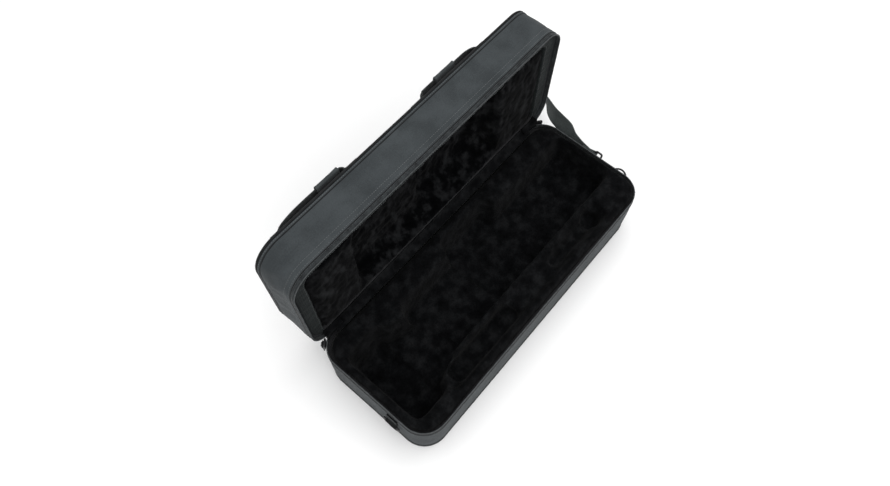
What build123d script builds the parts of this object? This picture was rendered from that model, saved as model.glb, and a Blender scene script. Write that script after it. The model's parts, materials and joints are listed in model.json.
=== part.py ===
"""A soft-sided instrument case, 550 mm long, standing open with its lid upright.

Frame: +X along the case, +Y from the front to the hinge side, +Z up. The origin is the
centre of the flat underside. Every length is in millimetres and every angle in degrees.
"""

from build123d import *
import math
import os

os.makedirs("parts", exist_ok=True)

# ---------------------------------------------------------------- driving sizes
# The case's outline, seen from above, to the outside of the cover fabric
case_length = 550.0
case_width = 220.0
corner_radius = 40.0

# Heights of the base, depth of the lid
base_wall_height = 90.0
base_lining_top = 107.0
lid_depth = 62.6

# Skins and foam
cover_thickness = 1.2
foam_thickness = 6.0
skin_gap = 0.3
underside_inset = 3.0
piping_diameter = 4.0
piping_proud = 1.0
piping_floor_gap = 0.3

# Zip: a tape and a row of teeth on each half
tape_thickness = 0.9
tape_inset = 0.2
base_tape_height = 8.2
lid_tape_height = 6.1
teeth_height = 1.4
teeth_proud = 0.5
teeth_inset = 1.8

# Fabric hinge along the back
hinge_strip_thickness = 1.0
hinge_strip_width = 19.0
hinge_strip_end_gap = 3.0
hinge_fold_gap = 0.2
rim_closing_gap = 0.6

# Plush block of the base: its crown over the wall, and what is moulded into it
crown_inset = 2.6
crown_radius = 6.0
crown_hinge_relief = 6.0
wall_taper = 7.0
trough_front_wall = 19.0
trough_width = 34.0
trough_length = 386.0
trough_centre = 3.0
trough_depth = 12.0
trough_corner = 8.0
trough_divider = 7.0
bell_end_wall = 16.0
bell_front_wall = 29.0
bell_well_length = 74.0
bell_well_width = 146.0
bell_well_depth = 84.0
neck_into_bell = 22.0
neck_well_length = 91.0
neck_wide = 127.5
neck_narrow = 75.0
neck_well_depth = 72.0
body_end_wall = 13.0
body_well_length = 412.0
body_well_width = 108.0
body_well_depth = 62.0
valve_well_centre = 28.0
valve_well_length = 116.0
valve_well_width = 134.0
valve_well_depth = 68.0
well_corner = 16.0
bottle_slot_centre = -104.0
bottle_slot_length = 142.0
bottle_slot_width = 28.0
bottle_slot_depth = 36.0
stem_slot_centre = 112.0
stem_slot_length = 96.0
stem_slot_width = 18.0
stem_slot_depth = 25.0
cup_hole_centre = 172.0
cup_hole_radius = 14.5
cup_hole_depth = 32.0
slot_corner = 6.0

# Padded rim and plush block of the lid
rim_pad_width = 26.0
rim_pad_depth = 14.0
rim_facing_thickness = 1.5
rim_pad_radius = 24.0
recess_centre = -7.5
recess_length = 315.0
recess_front_margin = 30.0
recess_hinge_margin = 16.0
recess_depth = 32.0
recess_corner = 24.0
recess_taper = 14.0
hollow_centre = 60.0
hollow_length = 144.0
hollow_front_margin = 60.0
hollow_hinge_margin = 26.0
hollow_depth = 47.0

# Carrying loops on the lid, and the sleeve that slides on each
webbing_thickness = 2.4
loop_width = 32.0
loop_span = 124.0
loop_stand_off = 7.5
loop_rise_run = 7.0
loop_bend = 5.0
loop_foot = 15.0
loop_edge_margin = 4.0
left_loop_from_end = 113.0
right_loop_from_end = 176.0
sleeve_length = 40.0
sleeve_wall = 2.2
sleeve_gap = 0.4
left_sleeve_shift = 29.0

# Ring and tab on each end wall
ring_wire = 3.2
ring_inner_width = 25.6
ring_leg = 6.0
ring_corner = 3.0
ring_bar_height = 62.0
left_ring_centre = -45.0
right_ring_centre = -58.0
right_ring_tilt = 30.0
tab_width = 20.0
tab_layer = 1.4
tab_sewn_height = 14.0
tab_neck_height = 10.0
tab_bar_gap = 0.2
tab_wall_gap = 1.4

# Zip slider and its pull, at each rear corner
slider_length = 14.0
slider_height = 15.0
slider_thickness = 1.8
slider_gap = 0.4
slider_corner = 3.0
slider_angle = 40.0
bail_wire = 2.0
bail_width = 11.0
bail_stand_off = 3.0
bail_drop = 2.5
pull_width = 6.0
pull_length = 24.0
pull_thickness = 1.8
pull_bore_gap = 0.2
pull_eye_wall = 1.2

# Snap hooks on the shoulder strap
hook_thickness = 3.6
hook_band = 3.5
hook_bow_length = 26.0
hook_bow_width = 14.0
hook_reach_on_ring = 8.0
gate_opening = 8.25
gate_hinge_offset = 4.5
gate_gap = 0.3
gate_cheek = 0.7
gate_pin_radius = 0.8
pin_gap = 0.1
boss_radius = 3.4
boss_length = 7.0
post_radius = 1.6
post_head_radius = 2.6
post_head_length = 1.2
swivel_wire = 3.4
swivel_inner_width = 34.0
swivel_opening = 9.0
swivel_corner = 3.0
hub_radius = 3.3
hub_length = 5.0
swivel_gap = 0.2

# Shoulder strap: the folded rest of its length lies on the floor behind the base
strap_width = 32.0
strap_thickness = 2.2
strap_lean = 18.0
fold_run = 170.0
fold_pitch = 3.2
fold_bend = 1.5
fold_layers = 5
fold_from_end = 35.0
fold_behind = 50.0
fold_tail = 12.0
floor_gap = 0.2

# ---------------------------------------------------------------- worked-out values
half_length = case_length / 2
half_width = case_width / 2
rim_y = half_width
hinge_offset = hinge_strip_thickness + hinge_fold_gap
hinge_y = half_width + hinge_offset
hinge_z = base_lining_top + rim_closing_gap + hinge_offset
lid_low_z = hinge_z + hinge_offset
lid_mid_z = lid_low_z + half_width
corner_x = half_length - corner_radius
corner_y = half_width - corner_radius
strip_half_length = corner_x - hinge_strip_end_gap
shell_inset = cover_thickness + skin_gap
core_inset = shell_inset + foam_thickness + skin_gap
piping_radius = piping_diameter / 2
piping_inset = piping_radius - piping_proud
piping_z = piping_floor_gap + piping_radius
cover_low_z = piping_z + piping_radius + skin_gap
bevel_reach = math.sqrt(2) * (piping_radius + skin_gap)
shell_bevel = piping_inset + piping_z - 2 * shell_inset + bevel_reach
crown_low_z = base_wall_height + skin_gap
tape_low_z = base_wall_height + skin_gap
base_teeth_z = tape_low_z + base_tape_height
print(f"lid hinge axis at y {hinge_y:.2f}, z {hinge_z:.2f}")


def lid_plane(depth):
    """Plane across the upright lid, this deep behind its rim; local +Y points to the hinge."""
    return Plane(origin=(0, rim_y + depth, lid_mid_z), x_dir=(1, 0, 0), z_dir=(0, 1, 0))


def outline(inset, mode=Mode.ADD):
    """The case's rounded outline, this far inside the outer face of the cover."""
    return RectangleRounded(
        case_length - 2 * inset, case_width - 2 * inset, corner_radius - inset, mode=mode
    )


def outline_band(plane, outer_inset, inner_inset, height):
    """A straight band along the whole outline, between two insets."""
    with BuildSketch(plane) as ring:
        outline(outer_inset)
        outline(inner_inset, mode=Mode.SUBTRACT)
    extrude(ring.sketch, amount=height)


def zip_band(plane, outer_inset, inner_inset, height):
    """A band along the front, the ends and the corners that leaves the hinge side free."""
    with BuildSketch(plane) as ring:
        outline(outer_inset)
        outline(inner_inset, mode=Mode.SUBTRACT)
        with Locations((0, half_width)):
            Rectangle(2 * corner_x, half_width, mode=Mode.SUBTRACT)
    extrude(ring.sketch, amount=height)


def outline_tube(plane):
    """A cord welt along the outline, swept from the middle of one long side."""
    side_x = half_length - piping_inset
    side_y = half_width - piping_inset
    bend = corner_radius - piping_inset
    with BuildLine(plane) as path:
        FilletPolyline((0, side_y), (side_x, side_y), (side_x, -side_y), (0, -side_y), radius=bend)
        FilletPolyline((0, -side_y), (-side_x, -side_y), (-side_x, side_y), (0, side_y), radius=bend)
    with BuildSketch(Plane(origin=path.line @ 0, z_dir=path.line % 0)) as round_section:
        Circle(piping_radius)
    sweep(round_section.sketch, path=path.line)


def tray(plane, height):
    """A foam tray with rounded corners, open at the top, bevelled where the welt runs."""
    with BuildSketch(plane) as outer:
        outline(shell_inset)
    block = extrude(outer.sketch, amount=height)
    floor_face = block.faces().sort_by(Axis(plane.origin, plane.z_dir))[0]
    chamfer(floor_face.outer_wire().edges(), shell_bevel)
    with BuildSketch(plane.offset(foam_thickness)) as inner:
        outline(shell_inset + foam_thickness)
    extrude(inner.sketch, amount=height, mode=Mode.SUBTRACT)


# ---------------------------------------------------------------- base: skins and foam
with BuildPart() as base_bottom_panel:
    with BuildSketch():
        outline(underside_inset)
    extrude(amount=cover_thickness)
base_bottom_panel.part.label = "base_bottom_panel"
export_step(base_bottom_panel.part, "parts/base_bottom_panel.step")

with BuildPart() as base_piping:
    outline_tube(Plane.XY.offset(piping_z))
base_piping.part.label = "base_piping"
export_step(base_piping.part, "parts/base_piping.step")

with BuildPart() as base_cover:
    outline_band(Plane.XY.offset(cover_low_z), 0, cover_thickness, base_wall_height - cover_low_z)
base_cover.part.label = "base_cover"
export_step(base_cover.part, "parts/base_cover.step")

with BuildPart() as base_shell:
    tray(Plane.XY.offset(shell_inset), base_wall_height - shell_inset)
base_shell.part.label = "base_shell"
export_step(base_shell.part, "parts/base_shell.step")

# ---------------------------------------------------------------- base: plush block
trough_low_y = -half_width + trough_front_wall
trough_mid_y = trough_low_y + trough_width / 2
well_low_y = trough_low_y + trough_width + trough_divider
bell_left_x = -half_length + bell_end_wall
bell_right_x = bell_left_x + bell_well_length
bell_mid_y = -half_width + bell_front_wall + bell_well_width / 2
neck_left_x = bell_right_x - neck_into_bell
neck_right_x = neck_left_x + neck_well_length
body_right_x = half_length - body_end_wall
body_mid_y = well_low_y + body_well_width / 2


def pocket(length, width, radius, centre, depth, taper=wall_taper):
    """A rounded pocket sunk from the top of the base's plush block."""
    with BuildSketch(Plane.XY.offset(base_lining_top)) as mouth:
        with Locations(centre):
            RectangleRounded(length, width, radius)
    extrude(mouth.sketch, amount=-depth, taper=taper, mode=Mode.SUBTRACT)


with BuildPart() as base_lining:
    with BuildSketch(Plane.XY.offset(core_inset)):
        outline(core_inset)
    extrude(amount=crown_low_z - core_inset)
    # The crown stands back at the hinge, where the lid's zip swings past it
    with BuildSketch(Plane.XY.offset(crown_low_z)):
        with Locations((0, -crown_hinge_relief / 2)):
            RectangleRounded(
                case_length - 2 * crown_inset, case_width - 2 * crown_inset - crown_hinge_relief,
                corner_radius - crown_inset,
            )
    extrude(amount=base_lining_top - crown_low_z)
    fillet(base_lining.faces().sort_by(Axis.Z)[-1].outer_wire().edges(), crown_radius)
    pocket(
        body_well_length, body_well_width, well_corner,
        (body_right_x - body_well_length / 2, body_mid_y), body_well_depth,
    )
    pocket(
        valve_well_length, valve_well_width, well_corner,
        (valve_well_centre, well_low_y + valve_well_width / 2), valve_well_depth,
    )
    pocket(
        bell_well_length, bell_well_width, well_corner,
        (bell_left_x + bell_well_length / 2, bell_mid_y), bell_well_depth,
    )
    with BuildSketch(Plane.XY.offset(base_lining_top)):
        with BuildLine():
            Polyline(
                (neck_left_x, bell_mid_y - neck_wide / 2),
                (neck_right_x, bell_mid_y - neck_narrow / 2),
                (neck_right_x, bell_mid_y + neck_narrow / 2),
                (neck_left_x, bell_mid_y + neck_wide / 2),
                close=True,
            )
        make_face()
    extrude(amount=-neck_well_depth, taper=wall_taper, mode=Mode.SUBTRACT)
    pocket(
        trough_length, trough_width, trough_corner, (trough_centre, trough_mid_y), trough_depth,
    )
    pocket(
        bottle_slot_length, bottle_slot_width, slot_corner,
        (bottle_slot_centre, trough_mid_y), bottle_slot_depth, 0,
    )
    pocket(
        stem_slot_length, stem_slot_width, slot_corner,
        (stem_slot_centre, trough_mid_y), stem_slot_depth, 0,
    )
    with BuildSketch(Plane.XY.offset(base_lining_top)):
        with Locations((cup_hole_centre, trough_mid_y)):
            Circle(cup_hole_radius)
    extrude(amount=-cup_hole_depth, mode=Mode.SUBTRACT)
base_lining.part.label = "base_lining"
export_step(base_lining.part, "parts/base_lining.step")

# ---------------------------------------------------------------- base: zip half, hinge
with BuildPart() as base_zip_tape:
    zip_band(
        Plane.XY.offset(tape_low_z), tape_inset, tape_inset + tape_thickness, base_tape_height
    )
base_zip_tape.part.label = "base_zip_tape"
export_step(base_zip_tape.part, "parts/base_zip_tape.step")

with BuildPart() as base_zip_teeth:
    zip_band(Plane.XY.offset(base_teeth_z), -teeth_proud, teeth_inset, teeth_height)
base_zip_teeth.part.label = "base_zip_teeth"
export_step(base_zip_teeth.part, "parts/base_zip_teeth.step")

strip_top_z = hinge_z - hinge_fold_gap - skin_gap
with BuildPart() as hinge_strip_base:
    with BuildSketch(Plane.XZ.offset(-half_width)):
        with Locations((0, strip_top_z)):
            Rectangle(
                2 * strip_half_length, hinge_strip_width, align=(Align.CENTER, Align.MAX)
            )
    extrude(amount=-hinge_strip_thickness)
hinge_strip_base.part.label = "hinge_strip_base"
export_step(hinge_strip_base.part, "parts/hinge_strip_base.step")

with BuildPart() as hinge_strip_lid:
    with BuildSketch(Plane.XY.offset(lid_low_z)):
        with Locations((0, hinge_y - hinge_fold_gap)):
            Rectangle(
                2 * strip_half_length, hinge_strip_width, align=(Align.CENTER, Align.MIN)
            )
    extrude(amount=-hinge_strip_thickness)
hinge_strip_lid.part.label = "hinge_strip_lid"
export_step(hinge_strip_lid.part, "parts/hinge_strip_lid.step")

# ---------------------------------------------------------------- lid: skins and foam
# Depths are measured from the lid's rim towards its top panel.
with BuildPart() as lid_top_panel:
    with BuildSketch(lid_plane(lid_depth - cover_thickness)):
        outline(underside_inset)
    extrude(amount=cover_thickness)
lid_top_panel.part.label = "lid_top_panel"
export_step(lid_top_panel.part, "parts/lid_top_panel.step")

with BuildPart() as lid_piping:
    outline_tube(lid_plane(lid_depth - piping_z))
lid_piping.part.label = "lid_piping"
export_step(lid_piping.part, "parts/lid_piping.step")

with BuildPart() as lid_cover:
    outline_band(lid_plane(skin_gap), 0, cover_thickness, lid_depth - cover_low_z - skin_gap)
lid_cover.part.label = "lid_cover"
export_step(lid_cover.part, "parts/lid_cover.step")

panel_inner = lid_plane(lid_depth - shell_inset)
with BuildPart() as lid_shell:
    tray(
        Plane(origin=panel_inner.origin, x_dir=(1, 0, 0), z_dir=(0, -1, 0)),
        lid_depth - shell_inset - rim_facing_thickness - skin_gap,
    )
lid_shell.part.label = "lid_shell"
export_step(lid_shell.part, "parts/lid_shell.step")

# ---------------------------------------------------------------- lid: rim and plush block
lining_floor_depth = lid_depth - core_inset
lining_step_depth = rim_pad_depth + skin_gap


def rim_opening(gap, mode):
    """The space inside the padded rim, open on the hinge side; a gap makes it smaller."""
    opening_length = case_length - 2 * (rim_pad_width + gap)
    opening_width = 2 * (case_width - rim_pad_width - gap)
    with Locations((0, half_width)):
        RectangleRounded(opening_length, opening_width, rim_pad_radius - gap, mode=mode)


with BuildPart() as lid_rim_pad:
    with BuildSketch(lid_plane(0)):
        outline(shell_inset)
        rim_opening(0, Mode.SUBTRACT)
    extrude(amount=rim_facing_thickness)
    with BuildSketch(lid_plane(rim_facing_thickness)):
        outline(core_inset)
        rim_opening(0, Mode.SUBTRACT)
    extrude(amount=rim_pad_depth - rim_facing_thickness)
lid_rim_pad.part.label = "lid_rim_pad"
export_step(lid_rim_pad.part, "parts/lid_rim_pad.step")


def lid_recess(length, hinge_margin, front_margin, centre, depth):
    """A rounded recess sunk from the lid's rim plane."""
    width = case_width - front_margin - hinge_margin
    middle = half_width - hinge_margin - width / 2
    with BuildSketch(lid_plane(0)) as mouth:
        with Locations((centre, middle)):
            RectangleRounded(length, width, recess_corner)
    extrude(mouth.sketch, amount=depth, taper=recess_taper, mode=Mode.SUBTRACT)


with BuildPart() as lid_lining:
    with BuildSketch(lid_plane(lining_step_depth)):
        outline(core_inset)
    extrude(amount=lining_floor_depth - lining_step_depth)
    with BuildSketch(lid_plane(rim_facing_thickness)):
        outline(core_inset)
        rim_opening(skin_gap, Mode.INTERSECT)
    extrude(amount=lining_step_depth - rim_facing_thickness)
    with BuildSketch(lid_plane(skin_gap)):
        outline(shell_inset)
        rim_opening(skin_gap, Mode.INTERSECT)
    extrude(amount=rim_facing_thickness - skin_gap)
    lid_recess(
        recess_length, recess_hinge_margin, recess_front_margin, recess_centre, recess_depth
    )
    lid_recess(
        hollow_length, hollow_hinge_margin, hollow_front_margin, hollow_centre, hollow_depth
    )
lid_lining.part.label = "lid_lining"
export_step(lid_lining.part, "parts/lid_lining.step")

# ---------------------------------------------------------------- lid: zip half
with BuildPart() as lid_zip_tape:
    zip_band(
        lid_plane(-lid_tape_height), tape_inset, tape_inset + tape_thickness, lid_tape_height
    )
lid_zip_tape.part.label = "lid_zip_tape"
export_step(lid_zip_tape.part, "parts/lid_zip_tape.step")

with BuildPart() as lid_zip_teeth:
    zip_band(
        lid_plane(-lid_tape_height - teeth_height), -teeth_proud, teeth_inset, teeth_height
    )
lid_zip_teeth.part.label = "lid_zip_teeth"
export_step(lid_zip_teeth.part, "parts/lid_zip_teeth.step")

# ---------------------------------------------------------------- lid: carrying loops
panel_y = rim_y + lid_depth
loop_low_z = lid_low_z + case_width - loop_edge_margin - loop_width
loop_mid_y = panel_y + loop_stand_off + webbing_thickness / 2
left_loop_centre = left_loop_from_end - half_length
right_loop_centre = half_length - right_loop_from_end


def carry_loop(centre):
    """A webbing loop: a sewn foot, a steep rise, a flat top, and the same again."""
    foot_y = panel_y + webbing_thickness / 2
    foot_x = loop_span / 2 + loop_foot
    flat_x = loop_span / 2 - loop_rise_run
    with BuildSketch(Plane.XY.offset(loop_low_z)) as section:
        with BuildLine():
            FilletPolyline(
                (centre - foot_x, foot_y), (centre - loop_span / 2, foot_y),
                (centre - flat_x, loop_mid_y), (centre + flat_x, loop_mid_y),
                (centre + loop_span / 2, foot_y), (centre + foot_x, foot_y),
                radius=loop_bend,
            )
        trace(line_width=webbing_thickness)
    extrude(section.sketch, amount=loop_width)


def sleeve(centre):
    """A sleeve of doubled fabric round the flat top of a loop."""
    inner_y = webbing_thickness + 2 * sleeve_gap
    inner_z = loop_width + 2 * sleeve_gap
    origin = (centre, loop_mid_y, loop_low_z + loop_width / 2)
    with BuildSketch(Plane(origin=origin, x_dir=(0, 1, 0), z_dir=(1, 0, 0))) as section:
        RectangleRounded(inner_y + 2 * sleeve_wall, inner_z + 2 * sleeve_wall, sleeve_wall)
        Rectangle(inner_y, inner_z, mode=Mode.SUBTRACT)
    extrude(section.sketch, amount=sleeve_length / 2, both=True)


with BuildPart() as left_carry_loop:
    carry_loop(left_loop_centre)
left_carry_loop.part.label = "left_carry_loop"
export_step(left_carry_loop.part, "parts/left_carry_loop.step")

with BuildPart() as right_carry_loop:
    carry_loop(right_loop_centre)
right_carry_loop.part.label = "right_carry_loop"
export_step(right_carry_loop.part, "parts/right_carry_loop.step")

with BuildPart() as left_loop_sleeve:
    sleeve(left_loop_centre + left_sleeve_shift)
left_loop_sleeve.part.label = "left_loop_sleeve"
export_step(left_loop_sleeve.part, "parts/left_loop_sleeve.step")

with BuildPart() as right_loop_sleeve:
    sleeve(right_loop_centre)
right_loop_sleeve.part.label = "right_loop_sleeve"
export_step(right_loop_sleeve.part, "parts/right_loop_sleeve.step")

# ---------------------------------------------------------------- end rings and tabs
ring_wire_radius = ring_wire / 2
tab_bore_radius = ring_wire_radius + tab_bar_gap
tab_loop_radius = tab_bore_radius + tab_layer
ring_bar_x = half_length + tab_wall_gap + tab_loop_radius
ring_half_width = ring_inner_width / 2 + ring_wire_radius
left_bar = Vector(-ring_bar_x, left_ring_centre, ring_bar_height)
right_bar = Vector(ring_bar_x, right_ring_centre, ring_bar_height)
ring_tilt = math.radians(right_ring_tilt)
right_reach = Vector(math.cos(ring_tilt), 0, math.sin(ring_tilt))


def end_ring(bar_centre, reach):
    """A round-wire D ring: a straight bar along Y, two legs and a half-round bow."""
    along = Vector(0, 1, 0)
    with BuildLine(Plane(origin=bar_centre, x_dir=along, z_dir=along.cross(reach))) as path:
        bar = Line((0, 0), (ring_half_width - ring_corner, 0))
        bend = TangentArc(bar @ 1, (ring_half_width, ring_corner), tangent=bar % 1)
        leg = Line(bend @ 1, (ring_half_width, ring_leg))
        bow = TangentArc(leg @ 1, (-ring_half_width, ring_leg), tangent=leg % 1)
        far_leg = Line(bow @ 1, (-ring_half_width, ring_corner))
        far_bend = TangentArc(
            far_leg @ 1, (-ring_half_width + ring_corner, 0), tangent=far_leg % 1
        )
        Line(far_bend @ 1, (0, 0))
    with BuildSketch(Plane(origin=bar_centre, z_dir=along)) as wire_section:
        Circle(ring_wire_radius)
    sweep(wire_section.sketch, path=path.line)


def end_tab(centre_y, side):
    """A webbing tab sewn flat on the end wall, its lower fold looped round the ring's bar."""
    sewn = 2 * tab_layer
    sewn_x = side * (half_length + sewn / 2)
    neck_z = ring_bar_height + tab_neck_height
    with BuildSketch(Plane.XZ.offset(-centre_y)) as section:
        with Locations((sewn_x, neck_z)):
            Rectangle(sewn, tab_layer, align=(Align.CENTER, Align.MIN))
        with Locations((side * ring_bar_x, ring_bar_height)):
            Circle(tab_loop_radius)
        make_hull()
        with Locations((sewn_x, neck_z)):
            Rectangle(sewn, tab_sewn_height, align=(Align.CENTER, Align.MIN))
        with Locations((side * ring_bar_x, ring_bar_height)):
            Circle(tab_bore_radius, mode=Mode.SUBTRACT)
    extrude(section.sketch, amount=tab_width / 2, both=True)


with BuildPart() as left_ring:
    end_ring(left_bar, Vector(0, 0, -1))
left_ring.part.label = "left_ring"
export_step(left_ring.part, "parts/left_ring.step")

with BuildPart() as right_ring:
    end_ring(right_bar, right_reach)
right_ring.part.label = "right_ring"
export_step(right_ring.part, "parts/right_ring.step")

with BuildPart() as left_ring_tab:
    end_tab(left_ring_centre, -1)
left_ring_tab.part.label = "left_ring_tab"
export_step(left_ring_tab.part, "parts/left_ring_tab.step")

with BuildPart() as right_ring_tab:
    end_tab(right_ring_centre, 1)
right_ring_tab.part.label = "right_ring_tab"
export_step(right_ring_tab.part, "parts/right_ring_tab.step")

# ---------------------------------------------------------------- zip sliders and pulls
closed_lid_rim_z = hinge_z + rim_y - hinge_y
lid_teeth_closed_z = closed_lid_rim_z - lid_tape_height - teeth_height
slider_z = (base_teeth_z + lid_teeth_closed_z + teeth_height) / 2
plate_radius = corner_radius + teeth_proud + slider_gap
bail_radius = plate_radius + slider_thickness + bail_stand_off
bail_z = slider_z - bail_drop
pull_bore = bail_wire / 2 + pull_bore_gap
pull_eye = pull_bore + pull_eye_wall
print(f"gap between the closed zip halves {lid_teeth_closed_z - base_teeth_z - teeth_height:.2f}")


def slider_frame(radius, side):
    """Plane square to the corner's radius at the slider: local X along the zip, local Y up."""
    angle = math.radians(90 - slider_angle)
    outward = Vector(side * math.cos(angle), math.sin(angle), 0)
    origin = Vector(side * corner_x, corner_y, bail_z) + outward * radius
    return Plane(origin=origin, x_dir=Vector(0, 0, 1).cross(outward), z_dir=outward)


def across_zip(radius, side):
    """Plane square to the zip at the slider: local X outwards, local Y up."""
    frame = slider_frame(radius, side)
    return Plane(origin=frame.origin, x_dir=frame.z_dir, z_dir=-frame.x_dir)


def zip_slider(side):
    """The slider's front plate with the round bail that holds the pull."""
    with BuildSketch(slider_frame(plate_radius, side)) as plate:
        with Locations((0, slider_z - bail_z)):
            RectangleRounded(slider_length, slider_height, slider_corner)
    extrude(plate.sketch, amount=slider_thickness)
    with BuildSketch(across_zip(bail_radius, side)) as bar:
        Circle(bail_wire / 2)
    extrude(bar.sketch, amount=bail_width / 2, both=True)
    leg_place = (bail_width - bail_wire) / 2
    with BuildSketch(slider_frame(plate_radius, side)) as legs:
        with Locations((leg_place, 0), (-leg_place, 0)):
            Circle(bail_wire / 2)
    extrude(legs.sketch, amount=bail_radius - plate_radius)


def zip_pull(side):
    """A flat pull hanging from the bail by an eye round its bar."""
    with BuildSketch(across_zip(bail_radius, side)) as section:
        Circle(pull_eye)
        Rectangle(pull_thickness, pull_length, align=(Align.CENTER, Align.MAX))
        Circle(pull_bore, mode=Mode.SUBTRACT)
    extrude(section.sketch, amount=pull_width / 2, both=True)


with BuildPart() as left_zip_slider:
    zip_slider(-1)
left_zip_slider.part.label = "left_zip_slider"
export_step(left_zip_slider.part, "parts/left_zip_slider.step")

with BuildPart() as right_zip_slider:
    zip_slider(1)
right_zip_slider.part.label = "right_zip_slider"
export_step(right_zip_slider.part, "parts/right_zip_slider.step")

with BuildPart() as left_zip_pull:
    zip_pull(-1)
left_zip_pull.part.label = "left_zip_pull"
export_step(left_zip_pull.part, "parts/left_zip_pull.step")

with BuildPart() as right_zip_pull:
    zip_pull(1)
right_zip_pull.part.label = "right_zip_pull"
export_step(right_zip_pull.part, "parts/right_zip_pull.step")

# ---------------------------------------------------------------- snap hooks
# A hook's frame lies at the middle of its bow: local X towards the strap, local Z through
# the bow's thickness. The swivel's frame shares its X, and its Y lies along the strap's edge.
bow_end_centre = (hook_bow_length - hook_bow_width) / 2
gate_side_y = (hook_bow_width - hook_band) / 2
boss_end = hook_bow_length / 2 - hook_band / 2 + boss_length
hub_start = boss_end + swivel_gap
near_bar = hub_start + hub_length / 2
head_start = hub_start + hub_length + swivel_gap
far_bar = near_bar + swivel_opening + swivel_wire
strap_eye_bore = swivel_wire / 2 + swivel_gap
strap_eye = strap_eye_bore + strap_thickness
gate_tip = gate_opening - gate_gap - hook_band / 2

right_hook_origin = (
    right_bar + right_reach * hook_reach_on_ring
    + Vector(0, ring_half_width + bow_end_centre, 0)
)
right_hook_frame = Plane(origin=right_hook_origin, x_dir=(0, 1, 0), z_dir=right_reach)
lean = math.radians(strap_lean)
strap_edge = Vector(math.sin(lean), 0, math.cos(lean))
right_swivel_frame = Plane(
    origin=right_hook_origin, x_dir=(0, 1, 0), z_dir=Vector(0, 1, 0).cross(strap_edge)
)
stack_mid_y = half_width + fold_behind
stack_right_x = half_length - fold_from_end
stack_left_x = stack_right_x - fold_run
run_low_z = floor_gap + strap_thickness / 2
free_bar = Vector(stack_left_x - fold_tail, stack_mid_y, floor_gap + strap_eye)
free_hook_frame = Plane(
    origin=free_bar - Vector(far_bar, 0, 0), x_dir=(1, 0, 0), z_dir=(0, 0, 1)
)


def hook_body(frame):
    """The bow with its gap for the gate, and the post that the swivel turns on."""
    with BuildSketch(frame) as bow:
        SlotOverall(hook_bow_length, hook_bow_width)
        SlotOverall(
            hook_bow_length - 2 * hook_band, hook_bow_width - 2 * hook_band, mode=Mode.SUBTRACT
        )
        with Locations((gate_hinge_offset, gate_side_y)):
            Rectangle(
                gate_opening, hook_band, align=(Align.MAX, Align.CENTER), mode=Mode.SUBTRACT
            )
            Circle(hook_band / 2)
            Circle(gate_pin_radius + pin_gap, mode=Mode.SUBTRACT)
    extrude(bow.sketch, amount=hook_thickness / 2, both=True)
    bow_end = hook_bow_length / 2 - hook_band / 2
    square = Plane(origin=frame.origin, x_dir=frame.y_dir, z_dir=frame.x_dir)
    with BuildSketch(square.offset(bow_end)) as boss:
        Circle(boss_radius)
    extrude(boss.sketch, amount=boss_length)
    with BuildSketch(square.offset(boss_end)) as post:
        Circle(post_radius)
    extrude(post.sketch, amount=head_start - boss_end)
    with BuildSketch(square.offset(head_start)) as head:
        Circle(post_head_radius)
    extrude(head.sketch, amount=post_head_length)


def hook_gate(frame):
    """A gate with two cheeks that straddle the bow, and the pin through them."""
    cheek_out = hook_thickness / 2 + pin_gap + gate_cheek
    with BuildSketch(frame) as lever:
        with Locations((gate_hinge_offset - gate_tip / 2, gate_side_y)):
            SlotCenterToCenter(gate_tip, hook_band)
    extrude(lever.sketch, amount=cheek_out, both=True)
    with BuildSketch(frame) as relief:
        with Locations((gate_hinge_offset, gate_side_y)):
            Circle(hook_band / 2 + gate_gap)
    extrude(
        relief.sketch, amount=hook_thickness / 2 + pin_gap, both=True, mode=Mode.SUBTRACT
    )
    with BuildSketch(frame) as pin:
        with Locations((gate_hinge_offset, gate_side_y)):
            Circle(gate_pin_radius)
    extrude(pin.sketch, amount=cheek_out, both=True)


def hook_swivel(frame):
    """A rectangular wire loop for the strap, with a hub that turns on the hook's post."""
    half_span = (swivel_inner_width + swivel_wire) / 2
    with BuildLine(frame) as path:
        for side in (1, -1):
            ends = [(far_bar, 0), (near_bar, 0)][:: side]
            FilletPolyline(
                ends[0], (ends[0][0], side * half_span), (ends[1][0], side * half_span),
                ends[1], radius=swivel_corner,
            )
    with BuildSketch(Plane(origin=path.line @ 0, z_dir=path.line % 0)) as wire_section:
        Circle(swivel_wire / 2)
    sweep(wire_section.sketch, path=path.line)
    square = Plane(origin=frame.origin, x_dir=frame.y_dir, z_dir=frame.x_dir)
    with BuildSketch(square.offset(hub_start)) as hub:
        Circle(hub_radius)
    extrude(hub.sketch, amount=hub_length)
    with BuildSketch(square.offset(hub_start)) as bore:
        Circle(post_radius + swivel_gap)
    extrude(bore.sketch, amount=hub_length, mode=Mode.SUBTRACT)


with BuildPart() as right_hook:
    hook_body(right_hook_frame)
right_hook.part.label = "right_hook"
export_step(right_hook.part, "parts/right_hook.step")

with BuildPart() as right_hook_gate:
    hook_gate(right_hook_frame)
right_hook_gate.part.label = "right_hook_gate"
export_step(right_hook_gate.part, "parts/right_hook_gate.step")

with BuildPart() as right_hook_swivel:
    hook_swivel(right_swivel_frame)
right_hook_swivel.part.label = "right_hook_swivel"
export_step(right_hook_swivel.part, "parts/right_hook_swivel.step")

with BuildPart() as free_hook:
    hook_body(free_hook_frame)
free_hook.part.label = "free_hook"
export_step(free_hook.part, "parts/free_hook.step")

with BuildPart() as free_hook_gate:
    hook_gate(free_hook_frame)
free_hook_gate.part.label = "free_hook_gate"
export_step(free_hook_gate.part, "parts/free_hook_gate.step")

with BuildPart() as free_hook_swivel:
    hook_swivel(free_hook_frame)
free_hook_swivel.part.label = "free_hook_swivel"
export_step(free_hook_swivel.part, "parts/free_hook_swivel.step")

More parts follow.
